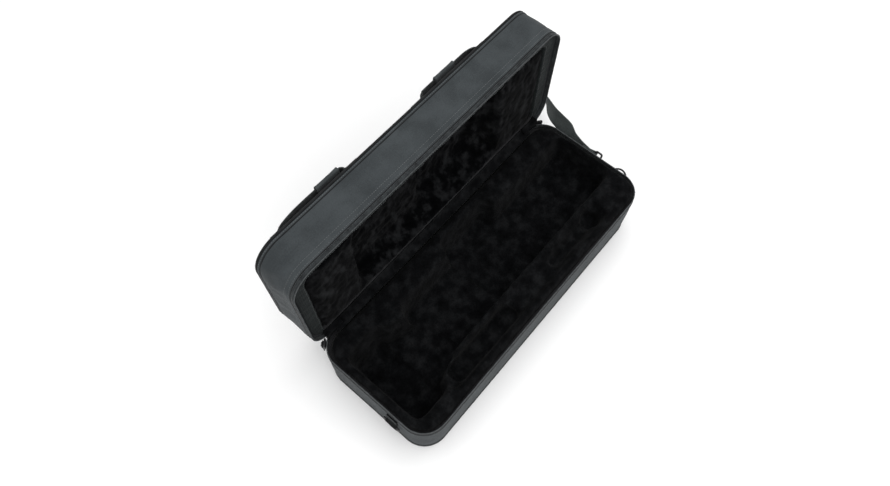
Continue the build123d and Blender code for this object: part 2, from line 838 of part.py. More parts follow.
# ---------------------------------------------------------------- shoulder strap
# The strap leaves the right hook on edge, leans outwards past the rear corner, turns down
# behind the lid and lies flat on the floor. Each station is a point on its middle line and
# the direction of its width there.
def beyond_corner(out, behind, height):
    """A point measured from the right end wall, the rear wall and the floor."""
    return Vector(half_length + out, half_width + behind, height)


strap_start = right_hook_origin + Vector(0, far_bar, 0)
stack_top_z = run_low_z + (fold_layers - 1) * fold_pitch
strap_stations = [
    (strap_start + Vector(0.5, 18.5, 3.0), strap_edge),
    (strap_start + Vector(1.5, 35.5, 8.0), Vector(0.40, 0.00, 0.92)),
    (beyond_corner(14.6, -61.0, 78.0), Vector(0.47, 0.00, 0.88)),
    (beyond_corner(20.8, -46.5, 84.0), Vector(0.48, -0.05, 0.88)),
    (beyond_corner(24.8, -32.0, 87.0), Vector(0.42, 0.00, 0.90)),
    (beyond_corner(30.0, -17.2, 88.0), Vector(0.35, 0.05, 0.94)),
    (beyond_corner(39.2, -2.8, 86.0), Vector(0.22, 0.18, 0.95)),
    (beyond_corner(49.9, 11.2, 82.0), Vector(0.08, 0.35, 0.92)),
    (beyond_corner(60.5, 22.0, 76.5), Vector(-0.02, 0.47, 0.88)),
    (beyond_corner(72.0, 34.5, 68.0), Vector(-0.06, 0.60, 0.80)),
    (beyond_corner(79.0, 48.0, 57.0), Vector(0.05, 0.75, 0.66)),
    (beyond_corner(77.0, 62.0, 44.0), Vector(0.25, 0.86, 0.45)),
    (beyond_corner(65.0, 71.0, 31.0), Vector(0.30, 0.93, 0.22)),
    (beyond_corner(45.0, 72.0, 21.5), Vector(0.18, 0.98, 0.05)),
    (beyond_corner(21.0, 66.0, 16.5), Vector(0.20, 0.98, 0.00)),
    (beyond_corner(-7.0, 56.0, 14.6), Vector(0.22, 0.97, 0.00)),
    (Vector(stack_right_x, stack_mid_y, stack_top_z), Vector(0.0, 1.0, 0.0)),
]
strap_points = [strap_start] + [point for point, edge in strap_stations]
strap_tangents = [
    (strap_points[i + 1] - strap_points[i - 1]).normalized()
    for i in range(1, len(strap_points) - 1)
] + [Vector(-1, 0, 0)]


def strap_section(point, tangent, edge):
    """The strap's cross-section: its width along the edge direction, square to its run."""
    across = (edge - tangent * edge.dot(tangent)).normalized()
    return Plane(origin=point, x_dir=across, z_dir=tangent)


def strap_eye_tube(centre, tangent, edge):
    """The sewn fold of the strap round a swivel's far bar."""
    with BuildSketch(Plane(origin=centre, x_dir=tangent, z_dir=edge)) as ring:
        Circle(strap_eye)
        Circle(strap_eye_bore, mode=Mode.SUBTRACT)
    extrude(ring.sketch, amount=strap_width / 2, both=True)


first_plane = strap_section(
    strap_start + Vector(0, (strap_eye + strap_eye_bore) / 2, 0), Vector(0, 1, 0), strap_edge
)
with BuildPart() as shoulder_strap:
    with BuildSketch(first_plane):
        Rectangle(strap_width, strap_thickness)
    for (point, edge), tangent in zip(strap_stations, strap_tangents):
        with BuildSketch(strap_section(point, tangent, edge)):
            Rectangle(strap_width, strap_thickness)
    loft(ruled=True)
    strap_eye_tube(strap_start, Vector(0, 1, 0), strap_edge)
    with BuildSketch(Plane.XZ.offset(-stack_mid_y)):
        with BuildLine():
            stack_points = []
            for layer in range(fold_layers - 1, -1, -1):
                run_z = run_low_z + layer * fold_pitch
                ends = [stack_right_x, stack_left_x]
                if (fold_layers - 1 - layer) % 2:
                    ends.reverse()
                if layer == 0:
                    ends[1] = free_bar.X
                stack_points += [(ends[0], run_z), (ends[1], run_z)]
            FilletPolyline(*stack_points, radius=fold_bend)
        trace(line_width=strap_thickness)
    extrude(amount=strap_width / 2, both=True)
    strap_eye_tube(free_bar, Vector(1, 0, 0), Vector(0, -1, 0))
shoulder_strap.part.label = "shoulder_strap"
export_step(shoulder_strap.part, "parts/shoulder_strap.step")

strap_run = sum((b - a).length for a, b in zip(strap_points, strap_points[1:]))
stack_run = fold_layers * fold_run + (fold_layers - 1) * fold_pitch + fold_tail
sewn_folds = 2 * math.pi * (strap_eye + strap_eye_bore) / 2 * 2
print(f"strap length about {strap_run + stack_run + sewn_folds:.0f}")
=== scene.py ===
# %% [markdown]
# # A soft instrument case, dressed for the camera
# The frame that is loaded here holds the rigid truth: every part at its real size, and the
# bodies that move. This lesson gives each part its cloth, its stitches and its finish.
# Everything is in metres and stays in the frame's own axes: X along the case, Y to the hinge,
# Z up. Lists of small sizes are in millimetres, and become metres where they are used.

# %% Load the frame
import bpy
import bmesh
import json
import math
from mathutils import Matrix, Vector, noise


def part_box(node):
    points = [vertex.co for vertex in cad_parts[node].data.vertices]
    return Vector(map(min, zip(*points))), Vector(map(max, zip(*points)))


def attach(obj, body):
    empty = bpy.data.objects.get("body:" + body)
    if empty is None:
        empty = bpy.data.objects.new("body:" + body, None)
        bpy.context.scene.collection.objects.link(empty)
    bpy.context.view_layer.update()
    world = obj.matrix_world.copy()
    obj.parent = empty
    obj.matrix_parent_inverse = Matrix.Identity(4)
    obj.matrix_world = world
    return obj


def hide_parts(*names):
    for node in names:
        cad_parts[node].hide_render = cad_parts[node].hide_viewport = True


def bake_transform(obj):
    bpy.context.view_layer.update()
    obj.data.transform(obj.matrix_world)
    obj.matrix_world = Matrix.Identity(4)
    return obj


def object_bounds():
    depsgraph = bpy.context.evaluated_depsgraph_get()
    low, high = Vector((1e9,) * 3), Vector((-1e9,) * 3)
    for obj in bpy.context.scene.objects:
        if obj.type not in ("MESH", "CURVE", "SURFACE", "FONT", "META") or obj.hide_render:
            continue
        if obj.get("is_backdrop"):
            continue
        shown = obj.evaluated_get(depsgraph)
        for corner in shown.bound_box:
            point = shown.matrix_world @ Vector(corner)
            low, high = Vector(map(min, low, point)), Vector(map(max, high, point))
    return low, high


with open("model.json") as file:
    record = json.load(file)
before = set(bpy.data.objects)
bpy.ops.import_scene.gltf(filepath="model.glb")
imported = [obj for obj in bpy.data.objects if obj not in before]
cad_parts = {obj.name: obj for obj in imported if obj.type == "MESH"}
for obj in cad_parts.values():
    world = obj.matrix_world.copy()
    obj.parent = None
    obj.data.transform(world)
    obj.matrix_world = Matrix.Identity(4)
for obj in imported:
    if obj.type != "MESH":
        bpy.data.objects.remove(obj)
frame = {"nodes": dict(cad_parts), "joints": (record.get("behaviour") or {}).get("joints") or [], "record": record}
cad_low, cad_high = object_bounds()
mm = 0.001


def placed(name, data):
    """A new object in the scene for this mesh, lamp or camera."""
    thing = bpy.data.objects.new(name, data)
    bpy.context.scene.collection.objects.link(thing)
    return thing


print("frame box, mm:", [round(v / mm, 1) for v in (*cad_low, *cad_high)])

# %% [markdown]
# ## The camera
# The photograph looks down on the open case from over its front left corner. The place and the
# three angles were worked out from the straight edges of the case, whose directions are known,
# and the lens follows from how fast those edges draw together.

# %% The camera
camera_place = (-0.38970, -0.22677, 1.10093)
camera_angles = (25.5107, -0.6708, -49.4738)
photo_width = 890
focal_pixels = 696.736
camera_data = bpy.data.cameras.new("photo_camera")
camera_data.sensor_width = 36.0
camera_data.lens = focal_pixels / photo_width * camera_data.sensor_width
camera = placed("photo_camera", camera_data)
camera.location = camera_place
camera.rotation_euler = [math.radians(angle) for angle in camera_angles]
bpy.context.scene.camera = camera
print("lens, mm:", round(camera_data.lens, 2))

# %% [markdown]
# ## Sizes read from the frame
# Nothing is typed in twice. The cloth takes its sizes from the boxes of the parts that it
# covers, so it still fits when the model under it changes.

# %% Sizes of the case
base_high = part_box("base_cover")[1]
lid_low, lid_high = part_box("lid_cover")
half_length, half_width = base_high.x, base_high.y
corner_radius = 40 * mm
cover_thickness = 1.2 * mm
rim_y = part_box("lid_rim_pad")[0].y
lid_middle = (lid_low.z + lid_high.z) / 2
lining_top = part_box("base_lining")[1].z
straight_x = half_length - corner_radius
straight_y = half_width - corner_radius
quarter = math.pi / 2 * corner_radius
print("half length, half width, mm:", round(half_length / mm, 1), round(half_width / mm, 1))

# %% [markdown]
# ## The outline that everything follows
# Cover, cord, zip, teeth and stitches all run round the same rounded rectangle. One function
# gives a point of it from the distance walked, beginning at the middle of the hinge side, and
# the direction that faces out there. A corner is an arc, so an inset is only a step inwards.

# %% Walk round the outline
outline_sides = [
    (straight_x, Vector((0, half_width)), math.pi),
    (2 * straight_y, Vector((-half_length, straight_y)), 1.5 * math.pi),
    (2 * straight_x, Vector((-straight_x, -half_width)), 0.0),
    (2 * straight_y, Vector((half_length, -straight_y)), 0.5 * math.pi),
    (straight_x, Vector((straight_x, half_width)), math.pi),
]
outline_length = sum(side[0] for side in outline_sides) + 4 * quarter
zip_start = straight_x
zip_end = outline_length - straight_x


def outline_at(distance):
    """The outline's point this far round from the middle of the hinge side, and its way out."""
    left = distance % outline_length
    for length, start, heading in outline_sides:
        along = Vector((math.cos(heading), math.sin(heading)))
        out = Vector((along.y, -along.x))
        if left <= length:
            return start + along * left, out
        left -= length
        if left <= quarter:
            angle = heading + left / corner_radius
            turned = Vector((math.sin(angle), -math.cos(angle)))
            return start + along * length + (turned - out) * corner_radius, turned
        left -= quarter
    return start + along * length, out


def spread(first, last, step):
    """Evenly spaced values from first to last, about this step apart."""
    count = max(2, round((last - first) / step))
    return [first + (last - first) * i / count for i in range(count + 1)]


def on_base(point, height):
    """A point of the base: a place in the outline's plane and a height."""
    return Vector((point.x, point.y, height))


def on_lid(point, depth):
    """A point of the upright lid: a place in the outline's plane and a depth behind the rim."""
    return Vector((point.x, rim_y + depth, lid_middle - point.y))


def levels(node, body):
    """A node's outer and inner level: heights on the base, depths behind the rim on the lid."""
    low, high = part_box(node)
    return (low.z, high.z) if body == "base" else (high.y - rim_y, low.y - rim_y)


def ripple(x, y, seed):
    """A smooth random value from -1 to 1, the same in every run."""
    return noise.noise(Vector((x, y, seed)))


whole_round = spread(0, outline_length, 4 * mm)[:-1]
zip_round = spread(zip_start, zip_end, 3 * mm)
on_half = {"base": on_base, "lid": on_lid}
print("outline, mm:", round(outline_length / mm, 1), "columns:", len(whole_round))

# %% [markdown]
# ## Materials: woven cloth
# The outside is charcoal nylon. A weave is two sets of threads that cross, so two wave
# patterns read the cloth's own UV map, which is laid out in metres, and their crossings lift
# the surface. Soft patches of noise vary the shade, and sheen gives the pale bloom that cloth
# has at a grazing angle.

# %% Woven cloth
thread_share, fuzz_share = 0.35, 0.5
fuzz_size = 2.4 * mm
dark_at, light_at = 0.65, 1.15
weave_strength = 0.8


def new_material(name):
    """A material, its node tree and its shader."""
    material = bpy.data.materials.new(name)
    material.use_nodes = True
    return material, material.node_tree, material.node_tree.nodes["Principled BSDF"]


def add(tree, kind, **values):
    """A node of this kind; a value whose name is a socket's goes to that socket."""
    node = tree.nodes.new(kind)
    for name, value in values.items():
        label = name.replace("_", " ").title()
        if label in node.inputs:
            node.inputs[label].default_value = value
        else:
            setattr(node, name, value)
    return node


def set_inputs(shader, values):
    """Puts each value on the shader's socket of that name."""
    for name, value in values.items():
        shader.inputs[name].default_value = value


def cloth_place(tree, in_object):
    """The socket that patterns are read from: the cloth's own UV map, or the piece's place."""
    if in_object:
        return add(tree, "ShaderNodeTexCoord").outputs["Object"]
    return add(tree, "ShaderNodeUVMap", uv_map="cloth").outputs["UV"]


def noise_at(tree, place, size, detail=2.0, roughness=0.5):
    """Soft random shades whose patches are about this size."""
    texture = add(tree, "ShaderNodeTexNoise", scale=1 / size, detail=detail, roughness=roughness)
    tree.links.new(place, texture.inputs["Vector"])
    return texture.outputs[0]


def threads(tree, place, pitch, direction):
    """Parallel threads, this far apart."""
    texture = add(tree, "ShaderNodeTexWave", scale=math.pi / 10 / pitch, bands_direction=direction)
    tree.links.new(place, texture.inputs["Vector"])
    return texture.outputs["Fac"]


def math_node(tree, operation, first, second):
    """A sum, product or the like of two sockets or numbers."""
    node = add(tree, "ShaderNodeMath", operation=operation)
    for socket, value in zip(node.inputs, (first, second)):
        if isinstance(value, bpy.types.NodeSocket):
            tree.links.new(value, socket)
        else:
            socket.default_value = value
    return node.outputs[0]


def plus_share(tree, first, second, share):
    """The first socket plus this share of the second."""
    return math_node(tree, "ADD", first, math_node(tree, "MULTIPLY", second, share))


def shades(tree, factor, stops):
    """A colour ramp through these (place, colour) stops."""
    node = add(tree, "ShaderNodeValToRGB")
    elements = node.color_ramp.elements
    while len(elements) < len(stops):
        elements.new(0.5)
    for element, (place, colour) in zip(elements, stops):
        element.position = place
        element.color = (*colour, 1.0)
    tree.links.new(factor, node.inputs["Fac"])
    return node.outputs["Color"]


def relief(tree, shader, height, strength, depth):
    """A bump that lifts the surface by this depth where the height is 1."""
    bump = add(tree, "ShaderNodeBump", strength=strength, distance=depth)
    tree.links.new(height, bump.inputs["Height"])
    tree.links.new(bump.outputs["Normal"], shader.inputs["Normal"])


def woven(name, dark, light, warp, weft, lift, sheen, patch=40, in_object=False, ribs=1.0,
          gloss=0.22):
    """Woven cloth, sizes in mm: threads of two pitches, over patches of shade."""
    material, tree, shader = new_material(name)
    place = cloth_place(tree, in_object)
    lengthwise = threads(tree, place, warp * mm, "X")
    crossing = math_node(tree, "MULTIPLY", lengthwise, threads(tree, place, weft * mm, "Y"))
    patches = noise_at(tree, place, patch * mm, 3.0)
    fuzz = noise_at(tree, place, fuzz_size, 3.0, 0.6)
    mixed = plus_share(tree, patches, crossing, thread_share * ribs)
    tone = plus_share(tree, mixed, fuzz, fuzz_share)
    colour = shades(tree, tone, [(dark_at, dark), (light_at, light)])
    tree.links.new(colour, shader.inputs["Base Color"])
    height = plus_share(tree, crossing, fuzz, fuzz_share)
    relief(tree, shader, height, weave_strength, lift * mm)
    set_inputs(shader, {
        "Roughness": 0.8, "Specular IOR Level": gloss, "Sheen Weight": sheen,
        "Sheen Roughness": 0.45,
    })
    return material


cover_cloth = woven("cover_weave", (0.0250, 0.0296, 0.0322), (0.0450, 0.0520, 0.0558),
                    0.9, 0.9, 0.14, 0.04, gloss=0.2)
facing_cloth = woven("rim_facing", (0.0050, 0.0068, 0.0070), (0.0120, 0.0152, 0.0155),
                     0.7, 0.7, 0.12, 0.02, patch=14, gloss=0.16)
tape_cloth = woven("zip_tape", (0.006, 0.007, 0.008), (0.030, 0.035, 0.037),
                   1.0, 1.6, 0.25, 0.10, patch=9)
cord_cloth = woven("piping_cord", (0.0035, 0.004, 0.0045), (0.011, 0.012, 0.013),
                   0.8, 0.8, 0.1, 0.05, patch=12)
webbing_cloth = woven("webbing", (0.006, 0.007, 0.0075), (0.026, 0.029, 0.030),
                      1.6, 2.4, 0.35, 0.10, patch=18, ribs=1.6)
tab_cloth = woven("tab_webbing", (0.0020, 0.0023, 0.0025), (0.0080, 0.0090, 0.0095),
                  1.4, 2.0, 0.3, 0.02, patch=12, ribs=1.6, gloss=0.1)
sleeve_cloth = woven("sleeve_fabric", (0.024, 0.028, 0.030), (0.044, 0.050, 0.052),
                     0.6, 0.6, 0.1, 0.12, patch=16)
strap_cloth = woven("strap_webbing", (0.030, 0.036, 0.036), (0.066, 0.076, 0.075),
                    1.2, 2.0, 0.3, 0.12, patch=22, ribs=1.4)
foam_board = woven("foam_board", (0.010, 0.010, 0.011), (0.022, 0.022, 0.024),
                   3, 3, 0.1, 0.1, in_object=True)
print("woven finishes:", [material.name for material in bpy.data.materials])

# %% [markdown]
# ## Materials: plush, thread, coil and metal
# Plush is a short black pile that was brushed this way and that, so it shows dark grey blotches where the pile
# leans towards the light. That is painted sheen: noise inside noise puts the lighter blotches into the plush's
# colour, and a little shader sheen gives the bloom. The lid's plush is a second copy with stronger painted light
# and shade, since its lumps get little shading from the even light. Thread and zip teeth are smooth nylon. The
# metal is coated black, with faint rubbed patches.

# %% Plush, thread, coil, metal
def plush(name, stops, sheen_blotch_size, tuft, upright):
    """Short black pile, sizes in mm: painted sheen blotches in its colour, drawn out upwards by this much."""
    material, tree, shader = new_material(name)
    drawn_out = add(tree, "ShaderNodeMapping", scale=(1.0, 1.0, 1 / upright))
    tree.links.new(cloth_place(tree, True), drawn_out.inputs["Vector"])
    place = drawn_out.outputs["Vector"]
    # The blotches are painted sheen: the colour is lighter where the pile would catch the light.
    sheen_blotches = noise_at(tree, place, sheen_blotch_size * mm, 2.0, 0.5)
    tufts = noise_at(tree, place, tuft * mm, 3.0, 0.6)
    pile = noise_at(tree, place, 0.9 * mm, 2.0)
    tone = plus_share(tree, sheen_blotches, tufts, 0.35)
    tree.links.new(shades(tree, tone, stops), shader.inputs["Base Color"])
    relief(tree, shader, plus_share(tree, tufts, pile, 0.25), 0.7, 1.4 * mm)
    set_inputs(shader, {
        "Roughness": 1.0, "Specular IOR Level": 0.0, "Sheen Weight": 0.02, "Sheen Roughness": 0.5,
    })
    return material


def smooth(name, dark, light, roughness, grain, metallic=0.0):
    """A smooth finish with faint patches, size in mm: nylon, or metal under black coating."""
    material, tree, shader = new_material(name)
    place = cloth_place(tree, True)
    patches = noise_at(tree, place, grain * mm, 4.0, 0.6)
    colour = shades(tree, patches, [(0.35, dark), (0.7, light)])
    tree.links.new(colour, shader.inputs["Base Color"])
    relief(tree, shader, noise_at(tree, place, grain * mm / 8, 3.0), 0.5, 0.02 * mm)
    set_inputs(shader, {"Roughness": roughness, "Metallic": metallic})
    return material


# The plush colours run from black to dark grey as painted sheen of the pile. The lid's copy has stronger painted
# light and shade.
plush_pile = plush("black_plush", [
    (0.45, (0.0022, 0.0023, 0.0025)), (0.66, (0.0042, 0.0044, 0.0048)),
    (0.95, (0.0110, 0.0115, 0.0122)),
], 17, 3.2, 1.0)
lid_painted_sheen_pile = plush("lid_plush", [
    (0.52, (0.0012, 0.0013, 0.0015)), (0.66, (0.0024, 0.0025, 0.0028)),
    (0.90, (0.0128, 0.0133, 0.0141)),
], 16, 6, 1.8)
coil_nylon = smooth("zip_coil", (0.022, 0.025, 0.027), (0.062, 0.069, 0.073), 0.5, 6)
sewing_thread = smooth("sewing_thread", (0.050, 0.056, 0.058), (0.115, 0.125, 0.128), 0.55, 2)
black_metal = smooth("black_metal", (0.007, 0.007, 0.008), (0.022, 0.022, 0.024), 0.42, 5, 0.25)
finish_of_slot = {"foam_board": foam_board, "black_metal": black_metal}
carried_over = [
    "base_shell", "lid_shell", "left_ring", "right_ring", "left_zip_slider", "right_zip_slider",
    "left_zip_pull", "right_zip_pull", "right_hook", "right_hook_gate", "right_hook_swivel",
    "free_hook", "free_hook_gate", "free_hook_swivel",
]
slot_of_node = {part["node"]: part["material_slot"] for part in frame["record"]["subparts"]}
for node_name in carried_over:
    slots = frame["nodes"][node_name].data.materials
    slots.clear()
    slots.append(finish_of_slot[slot_of_node[node_name]])
print("carried over:", len(carried_over), "parts")

# %% [markdown]
# ## A tool for cloth: rows of points become a surface
# Most pieces are bands that run along a line: walls, cord, tape, webbing. Each is a grid of
# points, with one row for each place across the band, and the last row joins the first, so
# that every piece is closed. The same tool lays the UV map in metres, so that threads keep
# their real pitch.

# %% Rows to cloth
def finished(name, mesh, material, sharp=50):
    """An object for a mesh whose points are in place, shaded smooth but for sharp folds."""
    mesh.materials.clear()
    mesh.materials.append(material)
    mesh.shade_smooth()
    mesh.set_sharp_from_angle(angle=math.radians(sharp))
    return placed(name, mesh)


def cloth_from_rows(name, rows, material, ring=False, sharp=50):
    """A closed mesh from equal rows of points. A ring joins last column to first, and any
    other band has its two ends closed."""
    across, along = len(rows), len(rows[0])
    reach, run = [0.0], [0.0]
    for r in range(1, across + 1):
        reach.append(reach[-1] + (rows[r % across][0] - rows[r - 1][0]).length)
    for c in range(1, along + 1):
        run.append(run[-1] + (rows[0][c % along] - rows[0][c - 1]).length)
    faces, places = [], []
    for r in range(across):
        here, above = r * along, (r + 1) % across * along
        for c in range(along if ring else along - 1):
            beside = (c + 1) % along
            faces.append((here + c, here + beside, above + beside, above + c))
            places += [(run[c], reach[r]), (run[c + 1], reach[r]),
                       (run[c + 1], reach[r + 1]), (run[c], reach[r + 1])]
    if not ring:
        first_end = [r * along for r in range(across)]
        last_end = [r * along + along - 1 for r in reversed(range(across))]
        for end in (first_end, last_end):
            faces.append(tuple(end))
            places += [(rows[0][0].x + i * mm, 0.0) for i in range(across)]
    mesh = bpy.data.meshes.new(name)
    mesh.from_pydata([point for row in rows for point in row], [], faces)
    cloth = mesh.uv_layers.new(name="cloth")
    for corner, place in zip(cloth.data, places):
        corner.uv = place
    return finished(name, mesh, material, sharp)


def faced_out(piece, panel=False):
    """The piece with its faces turned outwards. A panel's doubled points are merged, and its
    UV map is laid flat."""
    turned = bmesh.new()
    turned.from_mesh(piece.data)
    if panel:
        bmesh.ops.remove_doubles(turned, verts=turned.verts, dist=0.01 * mm)
    bmesh.ops.recalc_face_normals(turned, faces=turned.faces)
    cloth = turned.loops.layers.uv["cloth"]
    for face in turned.faces if panel else []:
        for loop in face.loops:
            loop[cloth].uv = (loop.vert.co.x, loop.vert.co.y + loop.vert.co.z)
    turned.to_mesh(piece.data)
    turned.free()
    return piece


def line_round(place, step_out, level, distances, give):
    """Points and ways out along the outline, this far out of it, at a height or depth."""
    path, ways_out = [], []
    for distance in distances:
        point, out = outline_at(distance)
        path.append(place(point + out * (step_out + give(distance, level)), level))
        ways_out.append(place(out, 0.0) - place(Vector((0.0, 0.0)), 0.0))
    return path, ways_out


def wall(name, place, profile, distances, material, give, ring=False):
    """A band round the outline. The profile's points are (out of it, height or depth)."""
    rows = [line_round(place, out, level, distances, give)[0] for out, level in profile]
    return cloth_from_rows(name, rows, material, ring)


def settle(piece, body, slot_name, *nodes):
    """The piece rides on its body and stands for these nodes; its finish slot name is not used."""
    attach(piece, body)
    if nodes:
        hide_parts(*nodes)


# %% [markdown]
# ## The cover walls
# Each half has a band of nylon stretched over foam. It could be a plain extrusion, but real
# cloth is never flat: it stands off the foam a little between its seams. So the profile has
# a seam lip at the cord, a doubled hem at the zip, and a slow random give in between.

# %% Cover walls
seam_lip = [(-1.0, 0.0), (0.2, 0.3), (0.8, 1.0), (0.9, 2.2), (0.4, 3.2), (-0.5, 3.8),
            (-0.6, 4.8), (-0.1, 5.6), (0.0, 6.6)]
hem_fold = [(-0.1, 12.0), (0.35, 11.3), (0.4, 10.4), (0.15, 9.6), (0.4, 8.8), (0.45, 5.0),
            (0.4, 3.4), (0.1, 2.8), (0.4, 2.2), (0.35, 0.8), (-0.1, 0.1), (-0.7, 0.0)]
end_fade = 45 * mm


def cover_profile(seam, hem):
    """From the corded seam to the hemmed edge: the outer skin, then back down the inner one."""
    way = 1 if hem > seam else -1
    length = abs(hem - seam)
    skin = [(out * mm, step * mm) for out, step in seam_lip]
    skin += [(0.0, step) for step in spread(9 * mm, length - 13 * mm, 6 * mm)]
    skin += [(out * mm, length - back * mm) for out, back in hem_fold]
    outer = [(out, seam + way * step) for out, step in skin]
    inner = [(-cover_thickness, level) for out, level in reversed(outer)]
    return (outer + inner)[::way]


def cover_give(seam, hem, folds, seed):
    """How far the cloth stands off the foam: folds at the ends, and calm along the hinge."""
    low, high = sorted((seam, hem))

    def give(distance, level):
        point, out = outline_at(distance)
        share = min(max((level - low) / (high - low), 0.0), 1.0)
        slow = 0.5 + 0.5 * ripple(distance / (70 * mm), level / (60 * mm), seed)
        quick = 0.5 + 0.5 * ripple(distance / (19 * mm), level / (45 * mm), seed + 7)
        near_end = min(max((abs(point.x) - straight_x + end_fade) / end_fade, 0.0), 1.0)
        leaning = distance + 0.55 * level
        fold = near_end * folds * ripple(leaning / (15 * mm), level / (70 * mm), seed + 11)
        calm = 1.0 - 0.85 * max(0.0, out.y)
        return math.sin(math.pi * share) * (1.1 * slow + 0.5 * quick + fold) * calm * mm
    return give


halves = []
for body, folds, seed in (("base", 0.7, 3.0), ("lid", 2.2, 11.0)):
    place = on_half[body]
    seam, hem = levels(f"{body}_cover", body)
    give = cover_give(seam, hem, folds, seed)
    halves.append((body, place, seam, hem, 1 if hem > seam else -1, give))
    cover = wall(f"{body}_cover_cloth", place, cover_profile(seam, hem), whole_round, cover_cloth,
                 give, ring=True)
    settle(cover, body, "cover_weave", f"{body}_cover")
    print(body, "cover wall, faces:", len(cover.data.polygons))

# %% [markdown]
# ## The cords at the outer edges
# The seam between wall and panel is piped: a cord in a bias strip. It is a tube along the outline, with small
# puckers where the strip is gathered round the corners. A thinner dark cord in the groove beside it is painted
# shade, a dark line where the groove is in shadow. Another painted shade line runs where the hem meets the zip.

# %% Piping cords
def round_profile(radius, middle_out, middle_level, sides):
    """A circle's points, in the order that makes its faces look outwards."""
    turns = [2 * math.pi * i / sides for i in range(sides)]
    return [(middle_out + radius * math.cos(t), middle_level + radius * math.sin(t)) for t in turns]


def cord_give(seed):
    """Small puckers along a cord."""
    return lambda distance, level: 0.18 * mm * ripple(distance / (5 * mm), level / (3 * mm), seed)


for body, place, seam, hem, way, _ in halves:
    piping = f"{body}_piping"
    outer, inner = levels(piping, body)
    radius = abs(outer - inner) / 2
    piping_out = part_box(piping)[1].x - half_length - radius
    for part, thick, out, level, step, sides, seed, nodes in (
        ("piping_cord", radius, piping_out, (outer + inner) / 2, 2.5, 12, 5.0, [piping]),
        # These two thin dark cords are painted shade: dark lines in the seam's groove and along the hem's edge,
        # where shadow falls.
        ("seam_shade_line", 0.95 * mm, -0.35 * mm, seam + way * 4.4 * mm, 3, 8, 6.0, []),
        ("hem_shade_line", 1.1 * mm, -0.3 * mm, hem + way * 0.4 * mm, 3, 8, 8.0, []),
    ):
        circle = round_profile(thick, out, level, sides)
        columns = spread(0, outline_length, step * mm)[:-1]
        give = cord_give(seed)
        cord = wall(f"{body}_{part}", place, circle, columns, cord_cloth, give, ring=True)
        settle(cord, body, "piping_cord", *nodes)
    print(body, "cord radius, mm:", round(radius / mm, 2))

# %% [markdown]
# ## The two panels
# The underside and the lid's outer panel are flat sheets of the same nylon. Rings of points
# run in from the outline and close on a line along the middle, which gives an even mesh
# that can pillow a little between the seams.

# %% Panels
panel_insets = (3.0, 3.6, 7.0, 7.8, 9.0, 17.0, 31.0)
panel_dips = {0: 0.5 * mm, 3: 0.35 * mm}
flat_rings = 4


def panel(name, place, low, high, pillow, seed):
    """A flat panel between two levels, its outer face lifted a little between the seams."""
    up = 1 if high > low else -1
    spine = straight_x - 25 * mm
    spots = [outline_at(d) for d in spread(0, outline_length, 6 * mm)[:-1]]
    rings = [[point - out * inset * mm for point, out in spots] for inset in panel_insets]
    last = rings[-1]
    for share in (0.2, 0.4, 0.6, 0.8, 1.0):
        rings.append([p + (Vector((max(-spine, min(spine, p.x)), 0.0)) - p) * share for p in last])
    rows = []
    for i, ring in enumerate(rings):
        level = high - up * panel_dips.get(i, 0.0)
        lift = up * pillow * min(1.0, max(0.0, (i - flat_rings) / 4))
        shares = [0.6 + 0.4 * ripple(p.x / 0.06, p.y / 0.06, seed) for p in ring]
        rows.append([place(p, level + lift * share) for p, share in zip(ring, shares)])
    rows += [[place(p, low) for p in ring] for ring in reversed(rings)]
    return faced_out(cloth_from_rows(name, rows[::up], cover_cloth, ring=True), panel=True)


for name, node, body, pillow, seed in (
    ("underside_panel", "base_bottom_panel", "base", 0.0, 1.0),
    ("lid_outer_panel", "lid_top_panel", "lid", 1.2 * mm, 2.0),
):
    outer, inner = levels(node, body)
    piece = panel(name, on_half[body], inner, outer, pillow, seed)
    settle(piece, body, "cover_weave", node)
    print(name, "faces:", len(piece.data.polygons))

# %% [markdown]
# ## Stitches, coil teeth and other things that repeat along a line
# A row of stitches is one small shape set again and again along a path. Geometry Nodes do
# that: the path is cut into equal steps, a rounded bar is placed on each, turned along the
# path and towards the way the cloth faces, and varied a little. The result becomes a plain
# mesh. The same tree makes the teeth of the zip, with other sizes.

# %% The repeating tree
bar_sizes = ("Pitch", "Length", "Width", "Height", "Unevenness")
bar_nodes = {
    "given": "NodeGroupInput", "line": "GeometryNodeMeshToCurve",
    "steps": "GeometryNodeResampleCurve", "bar": "GeometryNodeMeshUVSphere",
    "size": "ShaderNodeCombineXYZ", "scaled": "GeometryNodeTransform",
    "tangent": "GeometryNodeInputTangent", "facing": "GeometryNodeInputNamedAttribute",
    "along": "FunctionNodeAlignRotationToVector", "turned": "FunctionNodeAlignRotationToVector",
    "least": "ShaderNodeMath", "vary": "FunctionNodeRandomValue",
    "bars": "GeometryNodeInstanceOnPoints", "real": "GeometryNodeRealizeInstances",
    "dressed": "GeometryNodeSetMaterial", "out": "NodeGroupOutput",
}
bar_settings = {
    "steps": {"mode": "LENGTH"}, "bar": {"segments": 6, "rings": 4, "radius": 0.5},
    "facing": {"data_type": "FLOAT_VECTOR", "name": "facing"}, "along": {"axis": "X"},
    "turned": {"axis": "Z", "pivot_axis": "X"}, "least": {"operation": "SUBTRACT"},
    "vary": {"data_type": "FLOAT", "seed": 4},
}
bar_links = [
    "given.Path line.Mesh", "line.Curve steps.Curve", "given.Pitch steps.Length",
    "given.Length size.X", "given.Width size.Y", "given.Height size.Z",
    "bar.Mesh scaled.Geometry", "size.Vector scaled.Scale", "tangent.Tangent along.Vector",
    "along.Rotation turned.Rotation", "facing.Attribute turned.Vector",
    "given.Unevenness least.1", "least.0 vary.2", "vary.1 bars.Scale",
    "steps.Curve bars.Points", "scaled.Geometry bars.Instance", "turned.Rotation bars.Rotation",
    "bars.Instances real.Geometry", "real.Geometry dressed.Geometry",
    "given.Material dressed.Material", "dressed.Geometry out.Bars",
]


